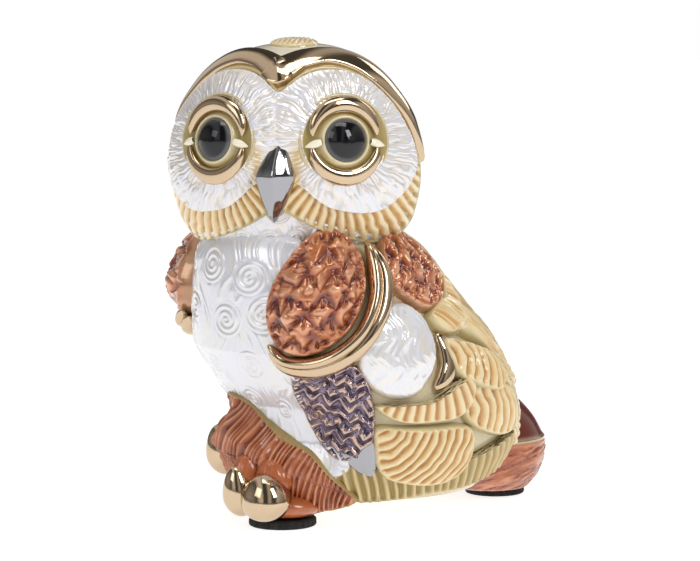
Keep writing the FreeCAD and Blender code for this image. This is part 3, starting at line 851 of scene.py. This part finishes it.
# ---------------------------------------------------------------- body
UNDERSIDE = 5.4             # the body clears the table; only the pads' bosses go lower
PAD_TOP = 1.8               # also the pads' thickness
RIGHT_PAD = (-8.5, -17.0)
VENT = (0.0, 2.0)
VENT_RADIUS = 3.5
BOSS_TIP, BOSS_ROOT = 6.2, 8.6      # radii of the boss over the far pad
BARE_CARVE, BARE_TINT = 0.25, 0.35  # the body's own glaze between the panels


def body_relief(angle, height, across):
    return {"height": -belly(across, height), "carve": BARE_CARVE + 0 * angle,
            "tint": BARE_TINT + 0 * angle}


def underside(body_sheet, columns):
    """The closed bottom of the body, with a vent hole and the boss for the far pad."""
    outline = body_sheet[0][:columns]
    angle = np.arctan2(outline[:, 1] - VENT[1], outline[:, 0] - VENT[0])
    vent = np.stack([VENT[0] + VENT_RADIUS * np.cos(angle),
                     VENT[1] + VENT_RADIUS * np.sin(angle), np.full(columns, UNDERSIDE)], axis=1)
    rings = [vent + (0, 0, 4.0), vent + (0, 0, 0.6)]
    steps = 60
    for step in range(steps + 1):
        t = step / steps
        ring = vent * (1 - t) + outline * t
        from_pad = np.hypot(ring[:, 0] - RIGHT_PAD[0], ring[:, 1] - RIGHT_PAD[1])
        boss = 1 - smooth(BOSS_TIP, BOSS_ROOT, from_pad)
        ring[:, 2] -= (UNDERSIDE - PAD_TOP) * boss * smooth(0, 0.1, 1 - t)
        rings.append(ring)
    points = np.vstack(rings)
    downward = np.tile([0.0, 0.0, -1.0], (len(points), 1))
    faces = outward_faces(points, grid_faces(len(rings), columns, wrap=True), downward)
    return points, faces, {"carve": np.full(len(points), BARE_CARVE),
                           "tint": np.full(len(points), BARE_TINT)}


BODY_COLUMNS = 420
body_sheet = shell(BODY, UNDERSIDE, 61.5, 160, BODY_COLUMNS, body_relief)
add_piece("body_shell_glazed", joined(body_sheet, underside(body_sheet, BODY_COLUMNS)),
          CREAM_GLAZE, "body_shell")


def breast_relief(across, up, edge):
    ridge = curls(across, up, 9.6, 2.9, 31)
    border = 1 - smooth(0.2, 1.4, edge)
    return {"height": 0.24 * ridge, "carve": 0.35 * (1 - ridge), "tint": 0.8 * border}


BREAST_EDGE = halves(around(
    (0, 61.5), (20, 61.0), (38, 59.5), (42, 54), (38, 44), (42, 34), (52, 24), (62, 13.0),
    (50, 10.0), (36, 10.5), (20, 13.5), (8, 16.5), (0, 17.5)))


def bib_relief(across, up, edge):
    ridge = curls(across + 3, up, 7.0, 3.0, 33)
    return {"height": 0.4 * ridge, "carve": 0.6 * (1 - ridge), "tint": 0 * ridge}


BIB_EDGE = [(0.0, -8.0), (6.0, -11.0), (14.0, -14.0), (24.0, -18.0), (30.0, -21.5),
            (24.0, -26.5), (12.0, -27.0), (0.0, -27.0), (-12.0, -27.0), (-24.0, -26.5),
            (-31.0, -22.0), (-24.0, -18.0), (-14.0, -15.0), (-6.0, -11.5)]
add_piece("breast_panel_glazed", joined(
    petal("body", BREAST_EDGE, breast_relief, 1.3, rim=1.4, sink=1.4, cell=FINE),
    petal("face", BIB_EDGE, bib_relief, 0.5, rim=1.4)), PEARL, "breast_panel")


def copper_relief(wide, tall, seed, lean=0.0, swell=1.2, reach=9):
    def relief(across, up, edge):
        x, y = turned(across, up, lean)
        x = x + 1.3 * (noise(x * 0.3, y * 0.3, seed + 5) - 0.5)
        cut = chisel_marks(x, y, wide, tall, seed, fatness=0.3) * smooth(0.6, 1.8, edge)
        scratch = 1 - folded(x * 0.55, y * 0.8, seed + 9)
        return {"height": swell * smooth(0, reach, edge) - 1.0 * cut - 0.5 * scratch ** 2,
                "carve": 0.75 * cut + 0.4 * scratch ** 2,
                "tint": 0.8 * (1 - smooth(0.3, 0.9, edge))}
    return relief


MEDALLION_EDGE = around((45, 59.6), (58, 58.8), (66, 54.0), (66.5, 48.0), (62, 42.2), (54, 38.2),
                        (44, 36.2), (35, 37.0), (29.5, 40.8), (28, 46.0), (31, 52.0), (37, 57.0))


def lifted(edge, base=59.0, share=0.82):
    """The right wing is held higher: the outline shrunk upwards towards its top."""
    return [(across, base - (base - up) * share) for across, up in edge]


both("shoulder_medallion",
     petal("body", MEDALLION_EDGE, copper_relief(4.3, 3.7, 41, swell=4.0, reach=7), 3.4,
           rim=1.2, cell=FINE),
     petal("body", lifted(MEDALLION_EDGE), copper_relief(4.3, 3.7, 43, swell=4.4, reach=6), 4.8,
           rim=1.2, cell=FINE),
     COPPER)
OUTER_ROLL = around((71, 57.0), (75.5, 51.5), (73.5, 45.5), (67, 39.8), (57, 35.6), (46, 33.6),
                    (36, 34.2), (29.5, 37.4))
INNER_ROLL = around((67, 57.4), (69.5, 52.0), (69, 46.6), (64, 40.8), (55, 36.9), (45, 35.1),
                    (36, 35.6), (30, 38.8))
both("shoulder_rim",
     joined(bead("body", OUTER_ROLL, 2.0, 2.3, 1.3, ends=0.25),
            bead("body", INNER_ROLL, 1.25, 2.0, 2.6, ends=0.2)),
     joined(bead("body", lifted(OUTER_ROLL), 1.7, 2.6, 2.2, ends=0.25),
            bead("body", lifted(INNER_ROLL), 1.25, 2.0, 3.8, ends=0.2)),
     GOLD)
SCAPULAR_EDGE = around((80, 58.4), (100, 59.2), (118, 57.4), (127, 53.0), (122, 47.6),
                       (110, 44.6), (97, 43.8), (86, 46.6), (77.5, 50.0), (76, 55.0))
pair("scapular_patch", petal("body", SCAPULAR_EDGE,
                             copper_relief(4.6, 3.8, 47, lean=25), 2.8, rim=1.4),
     COPPER)
SCAPULAR_ROLL = around((131, 55.0), (132, 50.0), (125, 46.0), (114, 43.8), (101, 43.0))
pair("scapular_rim", bead("body", SCAPULAR_ROLL, 1.3, 1.5, 1.0, ends=0.3), GOLD)


def violet_relief(across, up, edge):
    x, y = turned(across, up, -12)
    x = x + 0.9 * noise(x * 0.25, y * 0.25, 51)
    zigzag = np.abs(((x / 2.0) % 2) - 1)
    phase = (y + 1.9 * zigzag) / 2.35 + 0.35 * noise(x * 0.5, y * 0.5, 52)
    deep = ribs(phase, 1.6) * (0.55 + 0.45 * noise(x * 0.8, y * 0.8, 53))
    cut = chisel_marks(x, y, 4.0, 3.6, 54, fatness=0.22)
    cut = np.maximum(deep, 0.8 * cut) * smooth(0.4, 1.3, edge)
    return {"height": 1.0 * smooth(0, 7, edge) - 1.0 * cut,
            "carve": np.clip(1.1 * cut, 0, 1), "tint": 0.8 * (1 - smooth(0.2, 0.7, edge))}


FLANK_EDGE = around((37, 34.0), (48, 34.6), (58, 35.4), (66, 33.4), (70.5, 28.0), (72, 22.0),
                    (70.5, 17.4), (64, 14.4), (55, 13.6), (46, 16.2), (38, 21.6), (34.5, 28.0))
pair("flank_patch",
     petal("body", FLANK_EDGE, violet_relief, 1.9, rim=1.1, sink=4.0, cell=FINE), VIOLET)


def plain_relief(across, up, edge):
    return {"height": 0.5 * smooth(0, 3, edge)}


TIP_EDGE = around((54, 16.0), (62, 16.0), (70, 19.6), (73, 16.0), (72.5, 11.6), (67, 11.4),
                  (60, 13.0))
pair("flank_tip", petal("body", TIP_EDGE, plain_relief, 1.3, rim=0.9), PLATINUM)


def covert_relief(across, up, edge):
    wave = 1.1 * np.sin(up * 0.9) + 1.6 * noise(across * 0.3, up * 0.35, 61)
    ridge = 1 - folded((across + wave) * 0.55, up * 0.22, 62)
    fine = 1 - folded((across + wave) * 1.3, up * 0.4, 63)
    lump = noise(across * 0.28, up * 0.28, 64)
    border = 1 - smooth(0.2, 1.2, edge)
    return {"height": 1.3 * smooth(0, 6, edge) + 0.22 * ridge ** 2 + 0.14 * fine ** 3 + 0.4 * lump,
            "carve": 0.7 * (1 - ridge), "tint": 0.7 * border}


COVERT_EDGE = around((70, 45.4), (84, 46.6), (94, 43.6), (98.5, 39.0), (98, 34.0), (93, 29.8),
                     (86, 27.2), (76, 27.2), (68, 29.6), (63, 34.0), (64, 40.5))
pair("pearl_covert", petal("body", COVERT_EDGE, covert_relief, 1.7, rim=1.6), PEARL)
COVERT_ROLL = around((101, 39.6), (103.5, 36.4), (103.5, 33.2), (100.5, 30.4), (96, 28.6))
pair("covert_rim", bead("body", COVERT_ROLL, 2.3, 1.5, 0.9, ends=0.45), GOLD)


def ribbed(centre, spacing, strength, seed=71):
    """Ribs that are arcs about a far centre given as (azimuth, height)."""
    cx, cy = around(centre)[0]

    def relief(across, up, edge):
        away = np.hypot(across - cx, up - cy)
        phase = away / spacing + 0.35 * noise(across * 0.5, up * 0.5, seed)
        cut = ribs(phase, 1.4) * smooth(0.5, 1.8, edge)
        hair = folded(phase * 4, np.arctan2(up - cy, across - cx) * 9, seed + 1)
        lip = 1 - smooth(0.3, 1.3, edge)
        return {"height": 0.5 * smooth(0, 5, edge) - strength * cut + 0.1 * hair,
                "carve": 0.9 * cut + 0.15 * hair, "tint": 0.55 * lip}
    return relief


def spoked(centre, degrees, strength, seed=75):
    """Ribs that are spokes about a centre given as (azimuth, height)."""
    cx, cy = around(centre)[0]

    def relief(across, up, edge):
        angle = np.degrees(np.arctan2(up - cy, across - cx))
        away = np.hypot(across - cx, up - cy)
        cut = ribs(angle / degrees + 0.3 * noise(away * 0.3, angle * 0.05, seed), 1.3)
        cut = cut * smooth(0.4, 1.5, edge)
        lip = 1 - smooth(0.3, 1.2, edge)
        return {"height": 0.4 * smooth(0, 4, edge) - strength * cut, "carve": 0.95 * cut,
                "tint": 0.55 * lip}
    return relief


BAND_EDGE = around((70, 26.6), (80, 26.4), (91, 26.4), (100, 27.8), (107, 30.4), (116, 30.0),
                   (114, 25.5), (107, 22.6), (98, 21.9), (88, 21.9), (79, 22.8), (72, 24.8))
REAR_EDGE = around((108, 25.5), (116, 28.6), (126, 29.4), (136, 28.0), (146, 24.4), (148, 20.4),
                   (143, 17.6), (132, 17.0), (120, 18.6), (111, 21.4))
MIDDLE_EDGE = around((101, 38.0), (110, 37.6), (120, 36.6), (131, 34.2), (137, 30.4), (133, 26.6),
                     (124, 26.6), (113, 28.6), (105, 31.4))
pair("middle_feathers", joined(
    petal("body", REAR_EDGE, ribbed((92, 22.0), 2.3, 0.8), 2.0, rim=1.3),
    petal("body", BAND_EDGE, spoked((92, 44.0), 6.2, 0.7), 2.5, rim=1.2),
    petal("body", MIDDLE_EDGE, ribbed((96, 33.0), 2.2, 0.7), 2.9, rim=1.3)), FEATHER)


def strands_relief(lean, seed):
    """Long fine cuts that run the length of a feather."""
    def relief(across, up, edge):
        x, y = turned(across, up, lean)
        line = noise(x * 0.16, y * 1.5, seed)
        fine = noise(x * 0.3, y * 3.2, seed + 1)
        cut = np.clip(1.5 * np.abs(2 * line - 1) - 0.2, 0, 1) * smooth(0.5, 1.6, edge)
        lip = 1 - smooth(0.3, 1.4, edge)
        return {"height": 0.8 * smooth(0, 5, edge) - 0.4 * cut - 0.15 * fine,
                "carve": 0.6 * cut + 0.25 * fine, "tint": 0.6 * lip}
    return relief


UPPER_EDGE = around((97, 42.6), (106, 45.4), (116, 46.4), (124, 49.0), (134, 51.0), (144, 47.6),
                    (150, 41.0), (151, 35.0), (144, 31.6), (136, 33.0), (127, 36.2), (116, 38.6),
                    (104, 39.0))
SECOND_EDGE = around((122, 58.0), (140, 58.6), (158, 54.0), (164, 44.0), (160, 33.0), (150, 28.0),
                     (144, 33.0), (140, 43.0), (130, 50.0))
pair("upper_feathers", joined(
    petal("body", SECOND_EDGE, strands_relief(-62, 85), 1.9, rim=1.4),
    petal("body", UPPER_EDGE, strands_relief(-38, 81), 2.5, rim=1.5)), FEATHER)

FAN_EDGE = around((71, 21.8), (84, 21.8), (97, 21.6), (108, 21.4), (115, 20.0), (117, 15.6),
                  (114, 11.0), (106, 9.0), (93, 8.8), (78, 10.6), (71.5, 13.6), (70, 18.0))
pair("lower_feathers", petal("body", FAN_EDGE, ribbed((70, 24.0), 1.75, 0.7), 2.1, rim=1.5,
                                cell=FINE),
     FEATHER)


def hem_relief(across, up, edge):
    slant = across + 0.35 * (up - 6.0)
    cut = ribs(slant / 2.2 + 0.3 * noise(across * 0.3, up * 0.3, 91), 0.8) * smooth(0.4, 1.6, edge)
    fine = noise(slant * 2.2, up * 0.4, 92)
    return {"height": 0.3 - 0.95 * cut - 0.15 * fine, "carve": cut + 0.2 * fine,
            "tint": np.clip(0.5 * (1 - smooth(0.3, 1.2, edge)) + 0.55 * cut + 0.28, 0, 1)}


HEM_EDGE = around((50, 9.0), (58, 13.0), (75, 13.0), (100, 12.4), (125, 15.0), (145, 18.0),
                  (152, 14.0), (148, 10.0), (130, 7.8), (105, 6.6), (80, 6.0), (60, 6.2))
pair("hem_feathers", petal("body", HEM_EDGE, hem_relief, 1.3, rim=1.2), FEATHER)


def mantle_relief(across, up, edge):
    rise, carve = plumes(across - math.pi * BODY_REACH, up, 9.0, 8.0)
    return {"height": 1.1 * rise, "carve": carve, "tint": 0.35 * carve}


MANTLE_EDGE = around((140, 60.0), (180, 60.6), (220, 60.0), (222, 45.0), (222, 28.0), (212, 14.0),
                     (180, 12.0), (148, 14.0), (138, 28.0), (138, 45.0))
add_piece("mantle_glazed", petal("body", MANTLE_EDGE, mantle_relief, 1.2, rim=1.6), FEATHER,
          "mantle")


# ---------------------------------------------------------------- tail
TAIL_FORWARD = 1.4          # the tail sits this much nearer the body than its sections say
TAIL_SQUARE = 2.1           # 2 would make the sections plain ovals


def tail_sheet(sections, relief, rows=70, columns=200):
    """A wedge lofted through (height, centre, half width, half length) ovals."""
    table = curve(sections, rows)
    angle = np.linspace(0, TAU, columns, endpoint=False)
    z, centre, half, deep = (np.repeat(table[:, k], columns) for k in range(4))
    a = np.tile(angle, rows)
    square = (np.abs(np.cos(a)) ** TAIL_SQUARE + np.abs(np.sin(a)) ** TAIL_SQUARE)
    square = 1 / square ** (1 / TAIL_SQUARE)
    x = half * np.sin(a) * square
    y = centre - TAIL_FORWARD + deep * np.cos(a) * square
    points = np.stack([x, y, z], axis=1)
    out = np.stack([np.sin(a), np.cos(a), 0.4 + 0 * a], axis=1)
    out /= np.linalg.norm(out, axis=1)[:, None]
    carving = relief(a, z)
    return raised(points, out, carving, carving["height"], (rows, columns), wrap=True)


def tail_top_relief(angle, height):
    edge = np.exp(-((height - 13.2) / 0.5) ** 2)
    return {"height": 0.25 * edge, "carve": 0 * angle, "tint": edge}


def tail_under_relief(angle, height):
    slant = angle * 15.0 + 2.2 * height
    line = 1 - folded(slant * 0.32, height * 1.1 + angle * 3, 97)
    fine = 1 - folded(slant * 0.5, height * 2.6 + angle * 5, 98)
    cut = (0.65 * line ** 2 + 0.35 * fine ** 2) * smooth(12.6, 11.4, height)
    return {"height": -0.7 * cut, "carve": 1.1 * cut, "tint": 0 * cut}


TAIL_TOP = [(12.6, 29.6, 14.6, 14.8), (13.4, 29.4, 14.6, 14.9), (18.0, 28.2, 13.2, 13.3),
            (23.0, 25.8, 10.6, 10.6), (27.0, 23.2, 7.4, 7.4), (29.4, 21.6, 3.6, 3.6),
            (29.8, 21.2, 0.1, 0.1)]
TAIL_UNDER = [(1.8, 32.8, 0.1, 0.1), (1.85, 32.8, 8.4, 7.8), (3.5, 32.4, 11.0, 9.8),
              (6.0, 31.4, 13.2, 12.4), (9.5, 30.4, 14.6, 14.4), (12.0, 29.9, 14.9, 14.9),
              (12.8, 29.7, 14.5, 14.6)]
add_piece("tail_top_glazed", tail_sheet(TAIL_TOP, tail_top_relief), TAIL, "tail_top")
add_piece("tail_underside_glazed", tail_sheet(TAIL_UNDER, tail_under_relief), LEG, "tail_underside")


# ---------------------------------------------------------------- legs and feet
def leg_relief(across, up, edge):
    x, y = turned(across, up, -24)
    wander = 1.2 * noise(x * 0.35, y * 0.22, 101)
    phase = x / 1.15 + 1.3 * wander
    cut = ribs(phase, 1.3) * (0.35 + 0.65 * noise(phase, y * 0.25, 102))
    fine = noise(x * 2.6 + wander, y * 0.45, 103)
    cut = cut * smooth(1.2, 2.2, edge)
    border = (1 - smooth(1.2, 2.0, edge)) * smooth(14, 17, up + 0.42 * across)
    return {"height": 0.7 * smooth(0, 4, edge) - 0.95 * cut - 0.3 * fine + 0.3 * border,
            "carve": 1.1 * cut + 0.45 * fine - 0.1, "tint": 0.8 * border}


LEG_EDGE = around((-12, 26.0), (-3, 26.4), (6, 25.0), (14, 22.4), (24, 20.2), (34, 18.0),
                  (44, 15.2), (54, 11.4), (62, 8.6), (66, 6.4), (53, 4.4), (38, 2.6), (23, 2.0),
                  (22, 9.0), (17, 12.6), (6, 13.6), (-6, 15.0), (-18, 17.0), (-20, 22.5))
FAR_LEG_EDGE = around((12, 24.0), (24, 21.6), (36, 19.0), (46, 15.6), (56, 11.4), (66, 6.6),
                      (53, 4.4), (40, 3.0), (34, 7.0), (30, 12.0), (22, 16.5), (12, 18.5))
INSTEP_EDGE = around((-3, 16.0), (10, 17.0), (22, 15.0), (28, 9.0), (26, 3.2), (12, 3.0),
                     (-1, 5.0), (-3, 10.0))


def lump(centre, half_sizes, lean, point=0.0, carve=0.0, seed=0):
    """A drop-like lump: an oval ball that narrows upwards by `point`."""
    rows, columns = 60, 72
    polar = np.repeat(np.linspace(0.001, math.pi - 0.001, rows), columns)
    a = np.tile(np.linspace(0, TAU, columns, endpoint=False), rows)
    narrow = 1 - point * np.clip(np.cos(polar), -0.3, 1)
    rough = carve * (noise(a * 9 + polar * 5, polar * 3, seed) - 0.5)
    x = np.sin(polar) * np.cos(a) * narrow * (1 + rough) * half_sizes[0]
    y = np.sin(polar) * np.sin(a) * narrow * (1 + rough) * half_sizes[1]
    x, y = turned(x, y, -lean[0])
    y, z = turned(y, np.cos(polar) * half_sizes[2], -lean[1])
    out = np.stack([x, y, z], axis=1)
    points = out + np.array(centre, float)
    faces = outward_faces(points, grid_faces(rows, columns, wrap=True), out)
    return points, faces, {"carve": np.clip(0.4 + 2.0 * rough, 0, 1)} if carve else {}


def mirrored(sheet):
    return sheet[0] * (-1, 1, 1), sheet[1][:, ::-1], sheet[2]


FOOT_CENTRE = np.array([8.8, -25.6, 0.0])
RIGHT_SPLAY = -20.0
RIGHT_SHIFT = np.array([0.0, 5.6, 6.0])


def right_foot(sheet):
    """The same sheet on the right foot: mirrored, splayed, drawn back and raised."""
    heel = FOOT_CENTRE * (-1, 1, 1)
    points, faces, marks = mirrored(sheet)
    arm = points - heel
    x, y = turned(arm[:, 0], arm[:, 1], -RIGHT_SPLAY)
    return np.stack([x, y, arm[:, 2]], axis=1) + heel + RIGHT_SHIFT, faces, marks


# Each foot has three toes, and each toe ends in a lustred talon.
TALONS = {
    "inner": lump((2.7, -32.2, 7.4), (2.4, 3.2, 4.8), (-12, 12), 0.22),
    "middle": lump((6.4, -34.8, 7.6), (3.4, 3.6, 5.4), (4, 12), 0.22),
    "outer": lump((12.8, -32.4, 6.9), (5.2, 4.9, 5.0), (26, 12), 0.22),
}
TOES = joined(
    lump((2.6, -30.0, 11.4), (2.6, 4.2, 3.6), (-8, 24), 0.2, 0.10, 111),
    lump((6.4, -32.2, 11.6), (3.0, 4.4, 3.8), (4, 24), 0.2, 0.10, 112),
    lump((11.4, -29.4, 10.6), (4.0, 4.4, 4.2), (24, 24), 0.2, 0.10, 113))
INSTEP = petal("leg", INSTEP_EDGE, leg_relief, 0.7, rim=1.6)
leg_panel = petal("leg", LEG_EDGE, leg_relief, 2.0, rim=1.6, sink=2.0, cell=FINE)
far_leg_panel = petal("leg", FAR_LEG_EDGE, leg_relief, 1.3, rim=1.6, sink=2.0, cell=FINE)
heel = lump((8.8, -25.6, 4.6), (8.6, 7.8, 3.0), (10, 0), 0.0, 0.03, 114)
for side in ("left", "right"):
    left = side == "left"
    foot = [leg_panel, INSTEP, TOES, heel] if left else \
        [mirrored(far_leg_panel), mirrored(INSTEP), right_foot(TOES)]
    add_piece("leg_%s_glazed" % side, joined(*foot), LEG, "leg_" + side)
    for toe, sheet in TALONS.items():
        add_piece("talon_%s_%s_lustre" % (toe, side), sheet if left else right_foot(sheet), GOLD,
                  "talon_%s_%s" % (toe, side))


def pad_sheet(centre, radius):
    """A stamped felt disc with a soft, slightly uneven edge."""
    profile = curve([(0.01, PAD_TOP), (radius * 0.6, PAD_TOP), (radius - 0.4, PAD_TOP - 0.05),
                     (radius, PAD_TOP * 0.55), (radius - 0.3, 0.06), (radius * 0.6, 0.0),
                     (0.01, 0.0)], 60)
    angle = np.linspace(0, TAU, 160, endpoint=False)
    r = np.repeat(profile[:, 0], len(angle))
    z = np.repeat(profile[:, 1], len(angle))
    a = np.tile(angle, len(profile))
    fuzz = 0.18 * (noise(a * 25, z * 4, 121) - 0.5) * smooth(0.5, 1, r / radius)
    points = np.stack([centre[0] + (r + fuzz - 0.1) * np.cos(a),
                       centre[1] + (r + fuzz - 0.1) * np.sin(a), z], axis=1)
    out = points - np.array([centre[0], centre[1], PAD_TOP / 2])
    faces = outward_faces(points, grid_faces(len(profile), len(angle), wrap=True), out)
    return points, faces, {"carve": noise(points[:, 0] * 2, points[:, 1] * 2, 122)}


PADS = {"foot_pad_left": ((8.5, -25.8), 7.0), "foot_pad_right": (RIGHT_PAD, 6.0),
        "tail_pad": ((0.0, 33.4), 6.5)}
for node, (centre, radius) in PADS.items():
    add_piece(node + "_felt", pad_sheet(centre, radius), FELT, node)


# ---------------------------------------------------------------- studio
def studio_floor():
    mesh = bpy.data.meshes.new("floor")
    half = 3.0
    mesh.from_pydata([(-half, -half, 0), (half, -half, 0), (half, half, 0), (-half, half, 0)],
                     [], [(0, 1, 2, 3)])
    floor = new_object("floor", mesh)
    material = bpy.data.materials.new("pale_floor")
    material.use_nodes = True
    set_inputs(material.node_tree.nodes["Principled BSDF"], {
        "Base Color": (0.5, 0.5, 0.5, 1), "Roughness": 0.7,
        "Emission Color": (1, 1, 1, 1), "Emission Strength": 0.82})
    mesh.materials.append(material)


def aim(item, target, azimuth, elevation, distance):
    """Put an item that far from the target, in degrees round and up, and face it there."""
    a, e = math.radians(azimuth), math.radians(elevation)
    location = target + distance * np.array(
        [math.sin(a) * math.cos(e), -math.cos(a) * math.cos(e), math.sin(e)])
    item.location = location
    direction = target - location
    yaw = math.atan2(direction[0], -direction[1])
    pitch = math.atan2(math.hypot(direction[0], direction[1]), -direction[2])
    item.rotation_euler = (pitch, 0, yaw + math.pi)


LIGHT_TARGET = np.array([0, 0, 0.055])


def softbox(name, azimuth, elevation, distance, size, power):
    """A rectangular light aimed at the owl; azimuth as for the camera."""
    light = bpy.data.lights.new(name, "AREA")
    light.shape = "RECTANGLE"
    light.size, light.size_y = size
    light.energy = power
    aim(new_object(name, light), LIGHT_TARGET, azimuth, elevation, distance)


# What mirrors show of the room below the horizon, and the bright cards above it, as
# (position across, level) seen from the camera's side.
ROOM = [(0.48, (0.48, 0.47, 0.48)), (0.56, (0.10, 0.08, 0.07)), (0.95, (0.35, 0.33, 0.32))]
CARDS = [(0.0, 0.5), (0.14, 0.12), (0.22, 0.9), (0.32, 0.9), (0.38, 0.08), (0.50, 0.10),
         (0.56, 0.65), (0.62, 0.6), (0.68, 0.12), (0.80, 0.10), (0.86, 0.8), (1.0, 0.3)]
ACROSS_THE_VIEW = (0.545, 0.839, 0.0)
WHITE = (1.0, 1.0, 1.0, 1)


def world():
    """Even white light for matt surfaces, and a darker room for mirrors to show."""
    room = bpy.data.worlds.new("studio")
    bpy.context.scene.world = room
    room.use_nodes = True
    tree = room.node_tree
    tree.nodes.clear()
    where = new_node(tree, "TexCoord")
    split = new_node(tree, "SeparateXYZ")
    wire(where, "Generated", split, 0)
    height = new_node(tree, "MapRange", {"From Min": -1.0})
    wire(split, "Z", height, "Value")
    ramp = new_node(tree, "ValToRGB")
    fill_ramp(ramp, ROOM)
    wire(height, "Result", ramp, "Fac")
    across = new_node(tree, "VectorMath", {1: ACROSS_THE_VIEW}, operation="DOT_PRODUCT")
    wire(where, "Generated", across, 0)
    wide = new_node(tree, "MapRange", {"From Min": -1.0})
    wire(across, "Value", wide, "Value")
    cards = new_node(tree, "ValToRGB")
    fill_ramp(cards, [(at, (level, level * 0.96, level * 0.92)) for at, level in CARDS])
    wire(wide, "Result", cards, "Fac")
    upper = new_node(tree, "MapRange", {"From Min": 0.50, "From Max": 0.58})
    wire(height, "Result", upper, "Value")
    choose = new_node(tree, "Mix", data_type="RGBA")
    wire(upper, "Result", choose, "Factor")
    wire(ramp, "Color", choose, "A")
    wire(cards, "Color", choose, "B")
    even = new_node(tree, "Background", {"Color": WHITE, "Strength": 0.38})
    backdrop = new_node(tree, "Background", {"Color": WHITE})
    dim = new_node(tree, "Background", {"Strength": 0.8})
    wire(choose, "Result", dim, "Color")
    path = new_node(tree, "LightPath")
    lit = new_node(tree, "MixShader")
    wire(path, "Is Glossy Ray", lit, "Fac")
    wire(even, 0, lit, 1)
    wire(dim, 0, lit, 2)
    seen = new_node(tree, "MixShader")
    wire(path, "Is Camera Ray", seen, "Fac")
    wire(lit, 0, seen, 1)
    wire(backdrop, 0, seen, 2)
    wire(seen, 0, new_node(tree, "OutputWorld"), "Surface")


studio_floor()
world()
softbox("key", 95, 38, 0.60, (0.16, 0.30), 1.25)
softbox("fill", 10, 30, 0.70, (0.30, 0.30), 0.5)
softbox("top", 57, 80, 0.60, (0.35, 0.20), 0.7)
softbox("back", 200, 30, 0.70, (0.20, 0.30), 0.5)

VIEW_AZIMUTH, VIEW_ELEVATION, VIEW_DISTANCE = 57.0, 5.5, 0.620
VIEW_TARGET = np.array([0.0, 0.0043, 0.050])
VIEW_SHIFT = (-0.0471428571, -0.0128571429)     # in widths of the picture
camera = new_object("camera", bpy.data.cameras.new("camera"))
aim(camera, VIEW_TARGET, VIEW_AZIMUTH, VIEW_ELEVATION, VIEW_DISTANCE)
camera.data.sensor_width = 36.0
camera.data.lens = 150.5
camera.data.shift_x, camera.data.shift_y = VIEW_SHIFT
bpy.context.scene.camera = camera
bpy.context.scene.view_settings.view_transform = "Standard"
